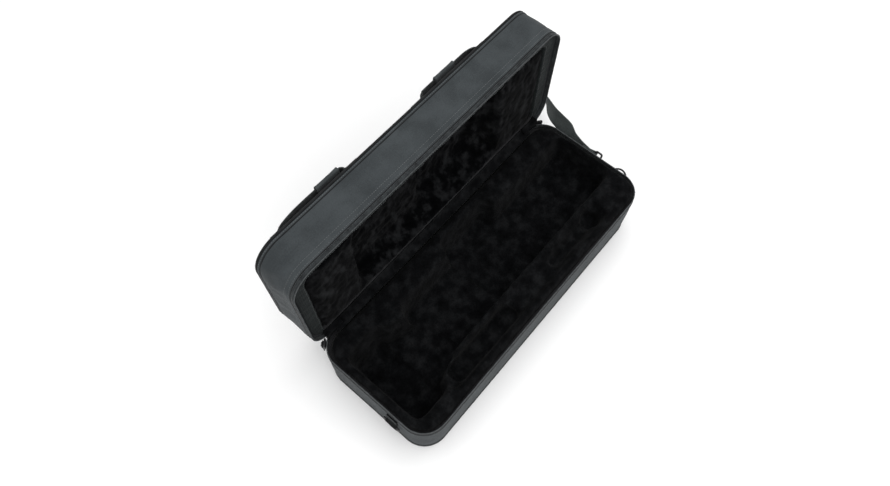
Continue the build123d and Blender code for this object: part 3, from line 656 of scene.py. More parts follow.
def row_tree():
    """A node tree that sets a rounded bar along every path, at an even pitch."""
    tree = bpy.data.node_groups.new("bars_along_path", "GeometryNodeTree")
    sizes = [(size, "Float") for size in bar_sizes]
    for label, kind in [("Path", "Geometry"), *sizes, ("Material", "Material")]:
        tree.interface.new_socket(label, in_out="INPUT", socket_type="NodeSocket" + kind)
    tree.interface.new_socket("Bars", in_out="OUTPUT", socket_type="NodeSocketGeometry")
    nodes = {key: add(tree, kind, **bar_settings.get(key, {})) for key, kind in bar_nodes.items()}
    nodes["least"].inputs[0].default_value = 1.0
    nodes["vary"].inputs[3].default_value = 1.0
    for pair in bar_links:
        (start, giver), (end, taker) = (socket.split(".") for socket in pair.split())
        outputs, inputs = nodes[start].outputs, nodes[end].inputs
        tree.links.new(outputs[int(giver) if giver.isdigit() else giver],
                       inputs[int(taker) if taker.isdigit() else taker])
    return tree


bar_tree = row_tree()


def bars(name, paths, pitch, size, material=sewing_thread, unevenness=0.12):
    """Rounded bars, sizes in mm, along each path. A path is (points, ways out, if it closes)."""
    points, facings, edges = [], [], []
    for path, ways_out, closes in paths:
        first, count = len(points), len(path)
        points += path
        facings += ways_out
        steps = range(count if closes else count - 1)
        edges += [(first + i, first + (i + 1) % count) for i in steps]
    mesh = bpy.data.meshes.new(name + "_path")
    mesh.from_pydata(points, edges, [])
    facing = mesh.attributes.new("facing", "FLOAT_VECTOR", "POINT")
    for entry, way_out in zip(facing.data, facings):
        entry.vector = way_out
    source = placed(name + "_path", mesh)
    nodes = source.modifiers.new("nodes", "NODES")
    nodes.node_group = bar_tree
    lengths = [value * mm for value in (pitch, *size)]
    given = dict(zip(bar_sizes, (*lengths, unevenness)), Material=material)
    for item in bar_tree.interface.items_tree:
        if item.name in given:
            nodes[item.identifier] = given[item.name]
    graph = bpy.context.evaluated_depsgraph_get()
    plain = bpy.data.meshes.new_from_object(source.evaluated_get(graph))
    bpy.data.objects.remove(source)
    return finished(name, plain, material, 180)


print("tree nodes:", len(bar_tree.nodes))

# %% [markdown]
# ## Stitch rows on the covers
# Two rows hold the doubled hem at the zip, and one row runs beside the cord. They sit in the
# shallow grooves of the cover's profile, where the thread pulls the cloth down.

# %% Cover stitches
for body, place, seam, hem, way, give in halves:
    rows = []
    for out, level in ((0.8, seam + way * 2.2 * mm), (0.25, hem - way * 9.6 * mm),
                       (0.2, hem - way * 2.8 * mm)):
        rows.append((*line_round(place, out * mm, level, whole_round, give), True))
    stitches = bars(f"{body}_cover_stitches", rows, 3.4, (2.6, 0.95, 0.6))
    settle(stitches, body, "cover_weave")
    print(body, "stitch faces:", len(stitches.data.polygons))

# %% [markdown]
# ## The zip
# Each half of the zip is a woven tape with a row of nylon coil along its free edge. The tape
# has two raised ribs, as zip tape has, and wavers a little because nothing holds it now. The
# coil is the repeating tree again, with short bars set across the tape, over a thin core.

# %% Zip tapes and teeth
tape_thickness = 0.9 * mm
tape_inset = 0.2 * mm
tape_ribs = [(0.0, 0.0), (0.12, 0.0), (0.2, 0.35), (0.3, 0.35), (0.38, 0.0), (0.56, 0.0),
             (0.64, 0.4), (0.74, 0.4), (0.82, 0.0), (1.0, -0.1)]


def tape_profile(sewn, free):
    """A tape from its sewn edge to its free one: ribbed outside, flat inside."""
    outer = [(-tape_inset + lift * mm, sewn + share * (free - sewn)) for share, lift in tape_ribs]
    inner = [(-tape_inset - tape_thickness, level) for out, level in reversed(outer)]
    return (outer + inner)[::1 if free > sewn else -1]


def tape_give(sewn, free, seed):
    """The tape's free edge wavers, its sewn edge doesn't."""
    def give(distance, level):
        share = (level - sewn) / (free - sewn)
        return 0.3 * mm * share * ripple(distance / (24 * mm), 0.0, seed)
    return give


for body, seed in (("base", 21.0), ("lid", 31.0)):
    name, place = f"{body}_zip", on_half[body]
    sewn, free = levels(f"{name}_tape", body)
    give = tape_give(sewn, free, seed)
    way = 1 if free > sewn else -1
    coil = free + way * 0.7 * mm
    tape = wall(f"{name}_tape_cloth", place, tape_profile(sewn, free), zip_round, tape_cloth, give)
    settle(tape, body, "zip_tape", f"{name}_tape")
    circle = round_profile(0.62 * mm, -0.75 * mm, coil, 8)
    core = wall(f"{name}_coil_core", place, circle, zip_round, coil_nylon, give)
    settle(core, body, "zip_coil")
    coil_line = (*line_round(place, -0.65 * mm, coil, zip_round, give), False)
    teeth = bars(f"{name}_coil_teeth", [coil_line], 1.5, (1.05, 1.5, 2.2), coil_nylon, 0.0)
    settle(teeth, body, "zip_coil", f"{name}_teeth")
    edge_line = (*line_round(place, 0.05 * mm, sewn + way * 1.1 * mm, zip_round, give), False)
    edge_stitches = bars(f"{name}_tape_stitches", [edge_line], 2.6, (2.0, 0.5, 0.4))
    settle(edge_stitches, body, "zip_tape")
    print(name, "teeth, faces:", len(teeth.data.polygons))

# %% [markdown]
# ## The padded rim of the lid
# Inside the lid a band of foam is covered with grey-green facing, gathered a little where it
# turns its corners. Its two arms run down the ends and die out at the hinge. A sweep gives
# the band, and puckers across it, strongest at its inner edge, make it sewn cloth.

# %% Padded rim
rim_inset = 1.5 * mm
rim_width = 26 * mm
arm_x = half_length - rim_width
rim_first = zip_start + 0.52 * corner_radius
rim_last = outline_length - rim_first
bunched_length = 30 * mm
rim_front = [
    (0.0, 4.6), (0.03, 4.2), (0.08, 3.8), (0.11, 2.2), (0.14, 0.9), (0.19, 0.2), (0.26, -0.05),
    (0.38, -0.1), (0.52, -0.12), (0.66, -0.08), (0.8, 0.0), (0.9, 0.35), (0.96, 1.0), (0.99, 2.2),
    (1.0, 4.5), (0.985, 8.0), (0.99, 11.0), (1.0, 13.8),
]
rim_back = [(0.7, 13.9), (0.3, 13.9), (0.26, 13.0), (0.26, 3.0)]


def rim_point(distance, share, depth):
    """A point of the rim's skin, this share of the way from its outer to its inner edge. The
    inner edge is a step in from the outline, or the straight arm near the hinge."""
    point, out = outline_at(distance)
    outer = point - out * rim_inset
    inner = point - out * rim_width
    if distance < zip_start + quarter or distance > zip_end - quarter:
        inner = Vector((math.copysign(arm_x, point.x), outer.y))
    crease = ripple(distance / (6.5 * mm), share * 1.5, 41.0)
    wide = ripple(distance / (21 * mm), share * 2.0, 43.0)
    gathered = share * share * (0.7 * crease + 0.8 * wide) * mm
    bunch = max(0.0, 1.0 - min(distance - rim_first, rim_last - distance) / bunched_length)
    sink = (0.45 + 0.7 * crease + 0.5 * wide) * (0.3 + share) * mm * (1 + 1.6 * bunch)
    return on_lid(outer + (inner - outer) * share + out * gathered, depth * mm + max(0.0, sink))


columns = spread(rim_first, rim_last, 2.2 * mm)
rows = [[rim_point(d, share, depth) for d in columns] for share, depth in rim_front + rim_back]
rim_pad = cloth_from_rows("lid_rim_facing", rows[::-1], facing_cloth, sharp=70)
settle(rim_pad, "lid", "rim_facing", "lid_rim_pad")
rim_seams = []
columns = spread(rim_first + 8 * mm, rim_last - 8 * mm, 3 * mm)
for share in (0.24, 0.88):
    path = [rim_point(d, share, 0.25) for d in columns]
    rim_seams.append((path, [Vector((0, -1, 0))] * len(path), False))
settle(bars("lid_rim_stitches", rim_seams, 3.6, (2.6, 0.6, 0.5)), "lid", "rim_facing")
print("rim faces:", len(rim_pad.data.polygons))

# %% [markdown]
# ## Plush linings
# The linings are soft foam blocks under plush, with wells in them. Their rigid stand-in
# already has the right wells, so a copy of it is merged, remeshed to an even skin and
# smoothed, which rounds every edge as thick cloth does. Cloth simulation with a little inner
# pressure then swells the exposed skin between the held sides, and lumps of noise brush the pile.

# %% Plush linings
voxel = 4.5 * mm
swell_limit = 2.2 * mm
swell_frames = 20
air_pressure = 4.0
held_wall = 9.5 * mm


def remeshed(node, rounding):
    """A copy of a node's skin as one even closed mesh, its edges rounded."""
    mesh = frame["nodes"][node].data.copy()
    merged = bmesh.new()
    merged.from_mesh(mesh)
    bmesh.ops.remove_doubles(merged, verts=merged.verts, dist=0.02 * mm)
    merged.to_mesh(mesh)
    merged.free()
    source = placed(node + "_skin", mesh)
    even = source.modifiers.new("even", "REMESH")
    even.mode = "VOXEL"
    even.voxel_size = voxel
    rounder = source.modifiers.new("rounder", "SMOOTH")
    rounder.factor = 0.5
    rounder.iterations = rounding
    return taken_out(source)


def taken_out(source):
    """The mesh that an object's modifiers give now; the object itself goes."""
    graph = bpy.context.evaluated_depsgraph_get()
    mesh = bpy.data.meshes.new_from_object(source.evaluated_get(graph))
    bpy.data.objects.remove(source)
    return mesh


def swollen(skin, is_held):
    """The skin after a short simulation with air pressure inside; held points stay."""
    before = [v.co.copy() for v in skin.vertices]
    source = placed("swelling", skin)
    held = source.vertex_groups.new(name="held")
    held.add([v.index for v in skin.vertices if is_held(v.co)], 1.0, "REPLACE")
    cloth = source.modifiers.new("cloth", "CLOTH")
    cloth.settings.vertex_group_mass = "held"
    cloth.settings.quality = 4
    cloth.settings.use_pressure = True
    cloth.settings.uniform_pressure_force = air_pressure
    cloth.settings.effector_weights.gravity = 0.0
    cloth.collision_settings.use_collision = False
    cloth.point_cache.frame_start = 1
    cloth.point_cache.frame_end = swell_frames
    for step in range(1, swell_frames + 1):
        bpy.context.scene.frame_set(step)
    grown = taken_out(source)
    bpy.context.scene.frame_set(1)
    for vertex, start in zip(grown.vertices, before):
        move = vertex.co - start
        if move.length > swell_limit:
            move *= swell_limit / move.length
        vertex.co = start + move
    return grown


def brushed(name, skin, is_held, stopped, lump, pile, seed):
    """The skin with one subdivision and the lumps of brushed pile on what isn't held."""
    sunk = swell_limit
    source = placed(name + "_skin", skin)
    finer = source.modifiers.new("finer", "SUBSURF")
    finer.levels = finer.render_levels = 1
    mesh = taken_out(source)
    normals = [v.normal.copy() for v in mesh.vertices]
    for vertex, normal in zip(mesh.vertices, normals):
        place = vertex.co
        if is_held(place):
            continue
        slow = noise.noise(place / (26 * mm) + Vector((seed, 0, 0)))
        lumps = noise.noise(place / (11 * mm) + Vector((seed, 3, 0)))
        tufts = noise.noise(place / (4.5 * mm) + Vector((seed, 7, 0)))
        rise = (0.5 * slow + lump * lumps + 0.45 * tufts) * mm - sunk
        vertex.co = stopped(place + normal * rise)
    return finished(name, mesh, pile, 180)


def base_held(place):
    """The base lining's hidden sides and floor, which the foam tray holds."""
    on_side = abs(place.x) > half_length - held_wall or abs(place.y) > half_width - held_wall
    return place.z < lining_top - 18 * mm and (place.z < 10 * mm or on_side)


def lid_held(place):
    """The lid lining's hidden sides and back, and what lies under the padded rim."""
    under_rim = abs(place.x) > arm_x - 1.5 * mm or place.z > lid_high.z - rim_width - 1.5 * mm
    at_hinge = place.z < lid_low.z + held_wall and place.y > rim_y + 4 * mm
    return place.y > lid_high.y - held_wall or at_hinge or under_rim


def pressed(over, give):
    """Soft pile runs up to a stop: the further it is over, the more it is pressed back."""
    return give * (1 - math.exp(-over / give)) if over > 0 else over


def base_stop(place):
    """The shut lid presses the base's pile to just over the top of its foam."""
    start = lining_top - 0.8 * mm
    return Vector((place.x, place.y, start + pressed(place.z - start, 1.1 * mm)))


def lid_stop(place):
    """The lid's pile ends flush with the padded rim."""
    start = rim_y + 1.0 * mm
    return Vector((place.x, start - pressed(start - place.y, 1.1 * mm), place.z))


for node, name, body, is_held, stopped, rounding, lump, pile, fill, seed in (
    ("base_lining", "base_plush", "base", base_held, base_stop, 3, 0.9, plush_pile, 0.8, 51.0),
    ("lid_lining", "lid_plush", "lid", lid_held, lid_stop, 9, 2.2, lid_painted_sheen_pile, 0.7, 57.0),
):
    skin = swollen(remeshed(node, rounding), is_held)
    plush_piece = brushed(name, skin, is_held, stopped, lump, pile, seed)
    settle(plush_piece, body, "black_plush", node)
    print(name, "faces:", len(plush_piece.data.polygons))

# %% [markdown]
# ## Webbing: one way to make every strap
# Loops, tabs and the shoulder strap are all flat webbing. A ribbon needs a middle line and,
# at each point, the direction of its width. Its section has soft selvedges, a little thicker
# than the middle, as woven tape has.

# %% A ribbon of webbing
selvedge = [(0.0, 0.0), (0.3, 0.62), (0.9, 1.0), (2.2, 1.0), (3.0, 0.8)]
middle_lift = 0.85


def ribbon(name, centres, edges, width, thickness, material, seed):
    """Webbing along a line of points, with the direction of its width at each."""
    half, thick = width / 2, thickness / 2
    left = [(-half + step * mm, lift) for step, lift in selvedge] + [(-half * 0.4, middle_lift)]
    top = left + [(0.0, middle_lift)] + [(-across, lift) for across, lift in left[:0:-1]]
    section = top + [(-across, -lift) for across, lift in top]
    rows = [[] for _ in section]
    last = len(centres) - 1
    for i, (centre, edge) in enumerate(zip(centres, edges)):
        tangent = (centres[min(i + 1, last)] - centres[max(i - 1, 0)]).normalized()
        across_way = (edge - tangent * edge.dot(tangent)).normalized()
        lift_way = tangent.cross(across_way)
        waver = 0.12 * mm * ripple(i * 0.37, seed, 5.0)
        for row, (across, lift) in zip(rows, section):
            row.append(centre + across_way * across + lift_way * (lift * thick + waver))
    return cloth_from_rows(name, rows, material, sharp=60)


def smooth_line(points, parts):
    """More points, or directions, on a smooth curve through these."""
    line = []
    for i, (first, second) in enumerate(zip(points, points[1:])):
        before, after = points[max(i - 1, 0)], points[min(i + 2, len(points) - 1)]
        for step in range(parts):
            t = step / parts
            bend = 2 * before - 5 * first + 4 * second - after
            twist = 3 * first - before - 3 * second + after
            line.append(0.5 * (2 * first + (second - before) * t + bend * t ** 2 + twist * t ** 3))
    return line + [points[-1]]


def box_and_cross(middle, along, across, out, length, width):
    """The paths of a sewn box with a cross in it."""
    corners = [middle + along * (a * length / 2) + across * (b * width / 2)
               for a, b in ((-1, -1), (1, -1), (1, 1), (-1, 1))]
    crossed = [([corners[i], corners[i + 2]], [out] * 2, False) for i in (0, 1)]
    return [(corners, [out] * 4, True)] + crossed


# %% [markdown]
# ## The carrying loops
# Two short webbing handles are sewn to the lid's outer panel near its front edge, so that
# with the case shut they meet the hand. Each has a loose sleeve of smooth cloth for the grip.

# %% Carrying loops and sleeves
webbing_thickness = 2.4 * mm
loop_width = 32 * mm
foot_length = 15 * mm
loop_dip = 0.1 * mm
sleeve_columns = 44
hem_seam = 0.84


def carry_loop(side_name, left_bow, right_bow, seed):
    """One handle. A bow is, in mm, how much longer its foot is and over what length it rises."""
    name = f"{side_name}_carry_webbing"
    low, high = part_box(f"{side_name}_carry_loop")
    middle_x, middle_z = (low.x + high.x) / 2, (low.z + high.z) / 2
    foot_y, top_y = low.y + webbing_thickness / 2 + 0.1 * mm, high.y - webbing_thickness / 2
    reach = (high.x - low.x) / 2

    def rise(longer, length, side):
        """Out along the foot, then a quarter of an ellipse up to the top."""
        rise_at = reach - foot_length - longer * mm
        bow = [(reach - 0.5 * mm, foot_y), (rise_at + 4 * mm, foot_y),
               (rise_at + 1 * mm, foot_y + 0.5 * mm)]
        for turn in map(math.radians, (12, 26, 42, 60, 78)):
            bow.append((rise_at - length * mm * (1 - math.cos(turn)),
                        foot_y + (top_y - foot_y) * math.sin(turn)))
        return [(side * x, y) for x, y in bow]

    flat = [(reach / 4, top_y - loop_dip), (reach / 2, top_y - loop_dip)]
    line = rise(*left_bow, -1) + flat + rise(*right_bow, 1)[::-1]
    centres = smooth_line([Vector((middle_x + x, y, middle_z)) for x, y in line], 5)
    widths = [Vector((0, 0, 1))] * len(centres)
    piece = ribbon(name, centres, widths, loop_width, webbing_thickness, webbing_cloth, seed)
    settle(piece, "lid", "webbing", f"{side_name}_carry_loop")
    rows = []
    for side in (-1, 1):
        foot_x = middle_x + side * (reach - foot_length / 2 - 0.5 * mm)
        rows += box_and_cross(
            Vector((foot_x, foot_y + 1.15 * mm, middle_z)), Vector((1, 0, 0)), Vector((0, 0, 1)),
            Vector((0, 1, 0)), foot_length - 5 * mm, loop_width - 7 * mm,
        )
    settle(bars(name + "_stitches", rows, 2.6, (2.1, 0.65, 0.6)), "lid", "webbing")


def flat_oval(i, half_y, half_z):
    """Point i of a flattened oval of these half sizes, square to the case's length."""
    turn = 2 * math.pi * i / sleeve_columns
    y, z = math.cos(turn), math.sin(turn)
    flat_y, flat_z = math.copysign(abs(y) ** 0.35, y), math.copysign(abs(z) ** 0.55, z)
    return Vector((0.0, flat_y * half_y, flat_z * half_z))


def grip_sleeve(side_name, lean, seed):
    """A folded tube of cloth round a handle, hemmed at both ends, this far inside its box."""
    name = f"{side_name}_grip_sleeve"
    node, body = f"{side_name}_loop_sleeve", f"{side_name}_sleeve"
    low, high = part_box(node)
    middle, half = (low + high) / 2, (high - low) / 2
    hem = [(-1.0, -0.8), (-1.0, -0.15), (-0.985, 0.0), (-0.93, 0.12), (-0.87, 0.1), (-0.84, -0.2),
           (-0.8, -0.25)]
    outer = hem + [(share, -0.25) for share in (-0.6, -0.4, -0.2, 0.0, 0.2, 0.4, 0.6)]
    outer += [(-share, out) for share, out in reversed(hem)]
    inner = [(0.99, -1.25), (0.5, -1.3), (0.0, -1.3), (-0.5, -1.3), (-0.99, -1.25)]
    rows = []
    for share, out in outer + inner:
        row = []
        for i in range(sleeve_columns):
            turn = 2 * math.pi * i / sleeve_columns
            soft = 0.3 * ripple(share * 3.5, turn * 1.5, seed) if out > -1 else 0.0
            push = (out - lean + soft) * mm
            spot = flat_oval(i, half.y + push, half.z + push)
            row.append(middle + Vector((share * half.x, 0, 0)) + spot)
        rows.append(row)
    piece = faced_out(cloth_from_rows(name, rows, sleeve_cloth, ring=True, sharp=70))
    settle(piece, body, "sleeve_fabric", node)
    seam_in = (0.15 + lean) * mm
    oval = [flat_oval(i, half.y - seam_in, half.z - seam_in) for i in range(sleeve_columns)]
    seams = []
    for side in (-1, 1):
        start = middle + Vector((side * hem_seam * half.x, 0.0, 0.0))
        seams.append(([start + spot for spot in oval], [spot.normalized() for spot in oval], True))
    settle(bars(name + "_stitches", seams, 2.4, (1.8, 0.5, 0.45)), body, "sleeve_fabric")


carry_loop("left", (0, 50), (6, 7), 61.0)
carry_loop("right", (7, 18), (0, 26), 63.0)
grip_sleeve("left", 0.0, 65.0)
grip_sleeve("right", 0.25, 67.0)
print("loops and sleeves made")

# %% [markdown]
# ## The ring tabs
# A short webbing tab is sewn to each end wall and folded round the bar of its ring. It is one
# ribbon that goes down the wall, round the bar and up again over itself.

# %% Ring tabs
tab_layer = 1.4 * mm
tab_width = 20 * mm
bar_inset = 3.2 * mm
turn_radius = 1.8 * mm + tab_layer / 2


def ring_tab(side_name, side):
    """A tab folded round the ring's bar."""
    name, node = f"{side_name}_tab_webbing", f"{side_name}_ring_tab"
    low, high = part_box(node)
    bar_x = max(abs(low.x), abs(high.x)) - bar_inset
    bar_z = low.z + bar_inset
    top_z = high.z - 0.3 * mm
    inner_x = half_length + tab_layer / 2 + 0.05 * mm
    outer_x = half_length + tab_layer * 1.5 + 0.1 * mm
    line = [(inner_x, top_z), (inner_x, top_z - 6 * mm), (inner_x, bar_z + 9 * mm),
            (inner_x + 0.7 * mm, bar_z + 4 * mm)]
    for step in range(9):
        angle = math.radians(165 + step * 27.5)
        line.append((bar_x + turn_radius * math.cos(angle), bar_z + turn_radius * math.sin(angle)))
    line += [(outer_x + 1.6 * mm, bar_z + 5.5 * mm), (outer_x + 0.3 * mm, bar_z + 9 * mm),
             (outer_x, bar_z + 12 * mm), (outer_x, top_z - 5 * mm), (outer_x, top_z)]
    middle_y = (low.y + high.y) / 2
    centres = smooth_line([Vector((side * x, middle_y, z)) for x, z in line], 4)
    widths = [Vector((0, 1, 0))] * len(centres)
    piece = ribbon(name, centres, widths, tab_width, tab_layer, tab_cloth, 71.0)
    settle(piece, "base", "webbing", node)
    sewn = box_and_cross(
        Vector((side * (outer_x + 0.75 * mm), middle_y, top_z - 7 * mm)), Vector((0, 1, 0)),
        Vector((0, 0, 1)), Vector((side, 0, 0)), tab_width - 5 * mm, 10 * mm,
    )
    settle(bars(name + "_stitches", sewn, 2.2, (1.8, 0.6, 0.5)), "base", "webbing")


ring_tab("left", -1)
ring_tab("right", 1)
print("tabs made")

# %% [markdown]
# ## The shoulder strap
# The strap is hooked to the ring at the right end, leans out past the rear corner, drops behind the lid and lies
# folded on the floor, where the photograph can't see it. Its route is a list of given points and width directions,
# made smooth by a curve through them.

# %% Shoulder strap
strap_width = 32 * mm
strap_thickness = 2.2 * mm
fold_pitch = 3.2 * mm
fold_layers = 5
strap_start = Vector((286.528, -4.25, 66.0)) * mm
strap_end_bar = Vector((58.0, 160.0, 4.3)) * mm
strap_route = [
    ((287.0, 14.25, 66.5), (0.309, 0, 0.951)), ((287.6, 31.25, 69.5), (0.40, 0, 0.92)),
    ((289.6, 49, 75), (0.49, 0, 0.87)), ((295.8, 63.5, 82), (0.48, -0.05, 0.88)),
    ((298.6, 79, 86.5), (0.32, 0, 0.95)), ((302.4, 96.5, 88), (0.26, 0.05, 0.95)),
    ((311, 112, 86), (0.22, 0.18, 0.95)), ((321.7, 126, 82), (0.08, 0.35, 0.92)),
    ((332.4, 137, 76.5), (-0.02, 0.47, 0.88)), ((345, 148, 68), (-0.06, 0.60, 0.80)),
    ((354, 158, 57), (0.05, 0.75, 0.66)), ((352, 172, 44), (0.25, 0.86, 0.45)),
    ((340, 181, 31), (0.30, 0.93, 0.22)), ((320, 182, 21.5), (0.18, 0.98, 0.05)),
    ((296, 176, 16.5), (0.20, 0.98, 0)), ((268, 166, 14.6), (0.22, 0.97, 0)),
]
start_eye = [(25, -2.4), (15, -2.4), (9, -2.6), (4.8, -2.9), (0, -3.0), (-2.1, -2.1), (-3.0, 0.0),
             (-2.1, 2.1), (0.0, 3.0), (3.0, 2.6), (7.5, 1.0), (12, 0.1)]
end_eye = [(0.0, -3.0), (-2.1, -2.1), (-3.0, 0.0), (-2.1, 2.1), (0.0, 3.0), (3.0, 2.6), (6.0, 0.9),
           (9.5, -0.55)]
stack_right, stack_left, stack_y = 240 * mm, 70 * mm, 160 * mm
stack_low = 1.3 * mm
flat_edge = Vector((0, 1, 0))

first_edge = Vector(strap_route[0][1])
lifted = flat_edge.cross(first_edge)
strap_points = [strap_start + flat_edge * (a * mm) + lifted * (b * mm) for a, b in start_eye]
strap_points += [Vector(place) * mm for place, edge in strap_route]
strap_edges = [first_edge] * len(start_eye) + [Vector(edge) for place, edge in strap_route]
for layer in range(fold_layers - 1, -1, -1):
    level = stack_low + layer * fold_pitch
    leftwards = (fold_layers - 1 - layer) % 2 == 0
    start, end = (stack_right, stack_left) if leftwards else (stack_left, stack_right)
    for share in (0.0, 0.03, 0.3, 0.7, 0.97, 1.0) if layer else (0.0, 0.03, 0.3, 0.7, 1.0):
        strap_points.append(Vector((start + (end - start) * share, stack_y, level)))
    if layer:
        fold_x = end + (-1.4 if leftwards else 1.4) * mm
        strap_points.append(Vector((fold_x, stack_y, level - fold_pitch / 2)))
strap_points += [strap_end_bar + Vector((out * mm, 0, up * mm)) for out, up in end_eye]
strap_edges += [flat_edge] * (len(strap_points) - len(strap_edges))
strap_line = smooth_line(strap_points, 5)
strap_widths = smooth_line(strap_edges, 5)
strap = ribbon("shoulder_strap_webbing", strap_line, strap_widths, strap_width, strap_thickness,
               strap_cloth, 81.0)
settle(strap, "base", "strap_webbing", "shoulder_strap")
steps = [(b - a).length for a, b in zip(strap_line, strap_line[1:])]
print("strap length, m:", round(sum(steps), 3))

# %% [markdown]
# ## The fabric hinge and the folds at its corners
# Along the back one strip of nylon joins the halves; it is one piece across the hinge. Inside, a roll of plush
# covers the gap, and at each rear corner a bunched gusset fills the wedge that opens between base and lid.

# %% Hinge cloth and corner gussets
strip_half = -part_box("hinge_strip_base")[0].x + 2.5 * mm
strip_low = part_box("hinge_strip_base")[0].z
strip_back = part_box("hinge_strip_lid")[1].y
hinge_joint = [joint for joint in frame["joints"] if joint["name"] == "lid_hinge"][0]
hinge_y, hinge_z = hinge_joint["pos_m"][1], hinge_joint["pos_m"][2]


def bent_strip(name, line, thickness, material, soft, seed, sharp):
    """A strip along the hinge whose section follows a line of (y, z) points."""
    points = smooth_line([Vector((y, z)) for y, z in line], 4)
    last = len(points) - 1
    offsets = []
    for i, point in enumerate(points):
        tangent = (points[min(i + 1, last)] - points[max(i - 1, 0)]).normalized()
        offsets.append(Vector((tangent.y, -tangent.x)) * (thickness / 2))
    skin = [p + offset for p, offset in zip(points, offsets)]
    skin += [p - offset for p, offset in zip(points, offsets)][::-1]
    rows = [
        [Vector((x, p.x + soft * ripple(x / 0.013, p.y / 0.01, seed),
                 p.y + soft * ripple(x / 0.017, p.x / 0.01, seed + 3)))
         for x in spread(-strip_half, strip_half, 4 * mm)]
        for p in skin
    ]
    return faced_out(cloth_from_rows(name, rows, material, sharp=sharp))


strip_y, strip_z = half_width + 0.5 * mm, hinge_z + 0.7 * mm
hinge_line = [
    (strip_y, strip_low), (strip_y, strip_low + 8 * mm),
    (half_width + 0.55 * mm, hinge_z - 4.5 * mm), (half_width + 0.8 * mm, hinge_z - 1.4 * mm),
    (hinge_y + 1.6 * mm, hinge_z + 0.5 * mm), (hinge_y + 5 * mm, strip_z),
    (strip_back - 6 * mm, strip_z), (strip_back, strip_z),
]
hinge_cloth = bent_strip("hinge_cloth", hinge_line, 1.0 * mm, cover_cloth, 0.12 * mm, 91.0, 60)
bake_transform(hinge_cloth)
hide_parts("hinge_strip_base", "hinge_strip_lid")
for body, y, z, way in (
    ("base", half_width + 1.05 * mm, strip_low + 2.5 * mm, Vector((0, 1, 0))),
    ("lid", strip_back - 2.5 * mm, hinge_z + 0.15 * mm, Vector((0, 0, -1))),
):
    path = [Vector((x, y, z)) for x in spread(-strip_half + 3 * mm, strip_half - 3 * mm, 20 * mm)]
    row = bars(f"{body}_hinge_stitches", [(path, [way] * len(path), False)], 3.2, (2.5, 0.65, 0.5))
    settle(row, body, "zip_tape")

fold_line = [
    (half_width - 12 * mm, lining_top - 3.0 * mm), (half_width - 8.5 * mm, lining_top - 0.6 * mm),
    (half_width - 4.5 * mm, lining_top + 0.9 * mm), (half_width - 1.2 * mm, hinge_z + 1.6 * mm),
    (half_width + 0.4 * mm, lid_low.z + 3.2 * mm), (half_width + 0.9 * mm, lid_low.z + 7.0 * mm),
]
fold_plush = bent_strip("hinge_plush_fold", fold_line, 2.0 * mm, plush_pile, 0.5 * mm, 95.0, 180)
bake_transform(fold_plush)


def two_skins(rows, thickness):
    """A sheet's rows, then the same rows a little behind them, so that the cloth is closed."""
    back = []
    for r, row in enumerate(rows):
        above, below = rows[min(r + 1, len(rows) - 1)], rows[max(r - 1, 0)]
        line = []
        for c, point in enumerate(row):
            along = row[min(c + 1, len(row) - 1)] - row[max(c - 1, 0)]
            line.append(point + along.cross(above[c] - below[c]).normalized() * thickness)
        back.append(line)
    return rows + back[::-1]


gusset_first = straight_x - 14 * mm
gusset_last = straight_x + 0.36 * quarter
gusset_folds = 16


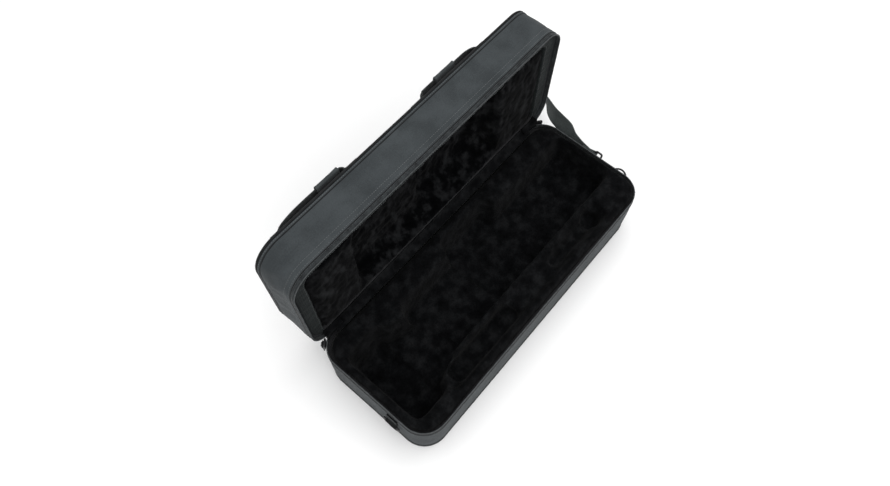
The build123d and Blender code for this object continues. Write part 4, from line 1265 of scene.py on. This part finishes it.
def corner_gusset(name, side, seed):
    """The bunched web from the base's plush over both zip tapes to the lid's padded rim."""
    columns = []
    for distance in spread(gusset_first, gusset_last, 1.8 * mm):
        point, out = outline_at(distance)
        u = (distance - gusset_first) / (gusset_last - gusset_first)
        tucked = 10 * mm - 4.5 * mm * u
        low_edge = on_base(point - out * (2.6 * mm), lining_top - 5.2 * mm)
        high_edge = on_lid(point - out * (2.8 * mm), -7.4 * mm)
        away = Vector((out.x * u, 0.7, -0.7)).normalized()
        line = [on_base(point - out * tucked, lining_top - 3 * mm)]
        for i in range(gusset_folds + 1):
            v = i / gusset_folds
            bunch = math.sin(math.pi * v) * (0.15 + 0.85 * u)
            turn = 3.6 * math.pi * v + 1.6 * ripple(u * 2.5, v * 2, seed)
            pucker = 0.7 * ripple(distance / (5 * mm), v * 6, seed + 1)
            push = (1.3 * math.sin(turn) + pucker + 0.4) * mm * bunch
            line.append(low_edge + (high_edge - low_edge) * v + away * push)
        for step_in, depth in ((3.4, -4.0), (5.0, -1.4), (8.5, 0.4)):
            line.append(on_lid(point - out * (step_in * mm), depth * mm))
        columns.append([Vector((-side * spot.x, spot.y, spot.z)) for spot in line])
    rows = two_skins([list(row) for row in zip(*columns)], side * 0.8 * mm)
    piece = faced_out(cloth_from_rows(name, rows, plush_pile, sharp=120))
    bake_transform(piece)


corner_gusset("left_corner_gusset", -1, 97.0)
corner_gusset("right_corner_gusset", 1, 99.0)
print("hinge and gussets made")

# %% [markdown]
# ## Floor and light
# The photograph is a studio shot on white: light from all sides, a soft shadow close under
# the case and nothing else. A pale floor, an even white surround and two large soft lamps do
# that. The floor is declared as stage, so it isn't part of the object.

# %% Floor and light
floor_half = 6.0
floor_shade = 0.94
surround_strength = 0.85
floor_mesh = bpy.data.meshes.new("floor")
corners = ((-1, -1), (1, -1), (1, 1), (-1, 1))
corners = [(x * floor_half, y * floor_half, 0.0) for x, y in corners]
floor_mesh.from_pydata(corners, [], [(0, 1, 2, 3)])
floor = placed("floor", floor_mesh)
pale, pale_tree, pale_shader = new_material("pale_floor")
set_inputs(pale_shader, {"Base Color": (*[floor_shade] * 3, 1.0), "Roughness": 0.8})
floor_mesh.materials.append(pale)
floor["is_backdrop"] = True

surround = bpy.data.worlds.new("white_surround")
surround.use_nodes = True
set_inputs(surround.node_tree.nodes["Background"],
           {"Color": (1.0, 1.0, 1.0, 1.0), "Strength": surround_strength})
bpy.context.scene.world = surround
bpy.context.scene.view_settings.view_transform = "Standard"


def soft_lamp(name, place, size, power):
    """A square area lamp aimed at the case."""
    data = bpy.data.lights.new(name, "AREA")
    data.size = size
    data.energy = power
    lamp = placed(name, data)
    lamp.location = place
    lamp.rotation_mode = "QUATERNION"
    aim = Vector((0.0, 0.0, 0.1)) - Vector(place)
    lamp.rotation_quaternion = aim.to_track_quat("-Z", "Y")


soft_lamp("key_lamp", (-0.9, -1.3, 2.0), 1.6, 16.0)
soft_lamp("top_lamp", (0.5, 0.1, 2.5), 1.8, 22.0)

# %% [markdown]
# ## Size and finish
# The dressed case should stay the size of the rigid one, but for the little that cloth may stand proud, so the
# frame's box is printed at the start. The last line prints how far the dressed case runs over it.

# %% Size and finish
new_low, new_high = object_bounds()
over = [round((a - b) / mm, 1) for a, b in zip((*new_low, *new_high), (*cad_low, *cad_high))]
print("size over the frame box, mm:", over)
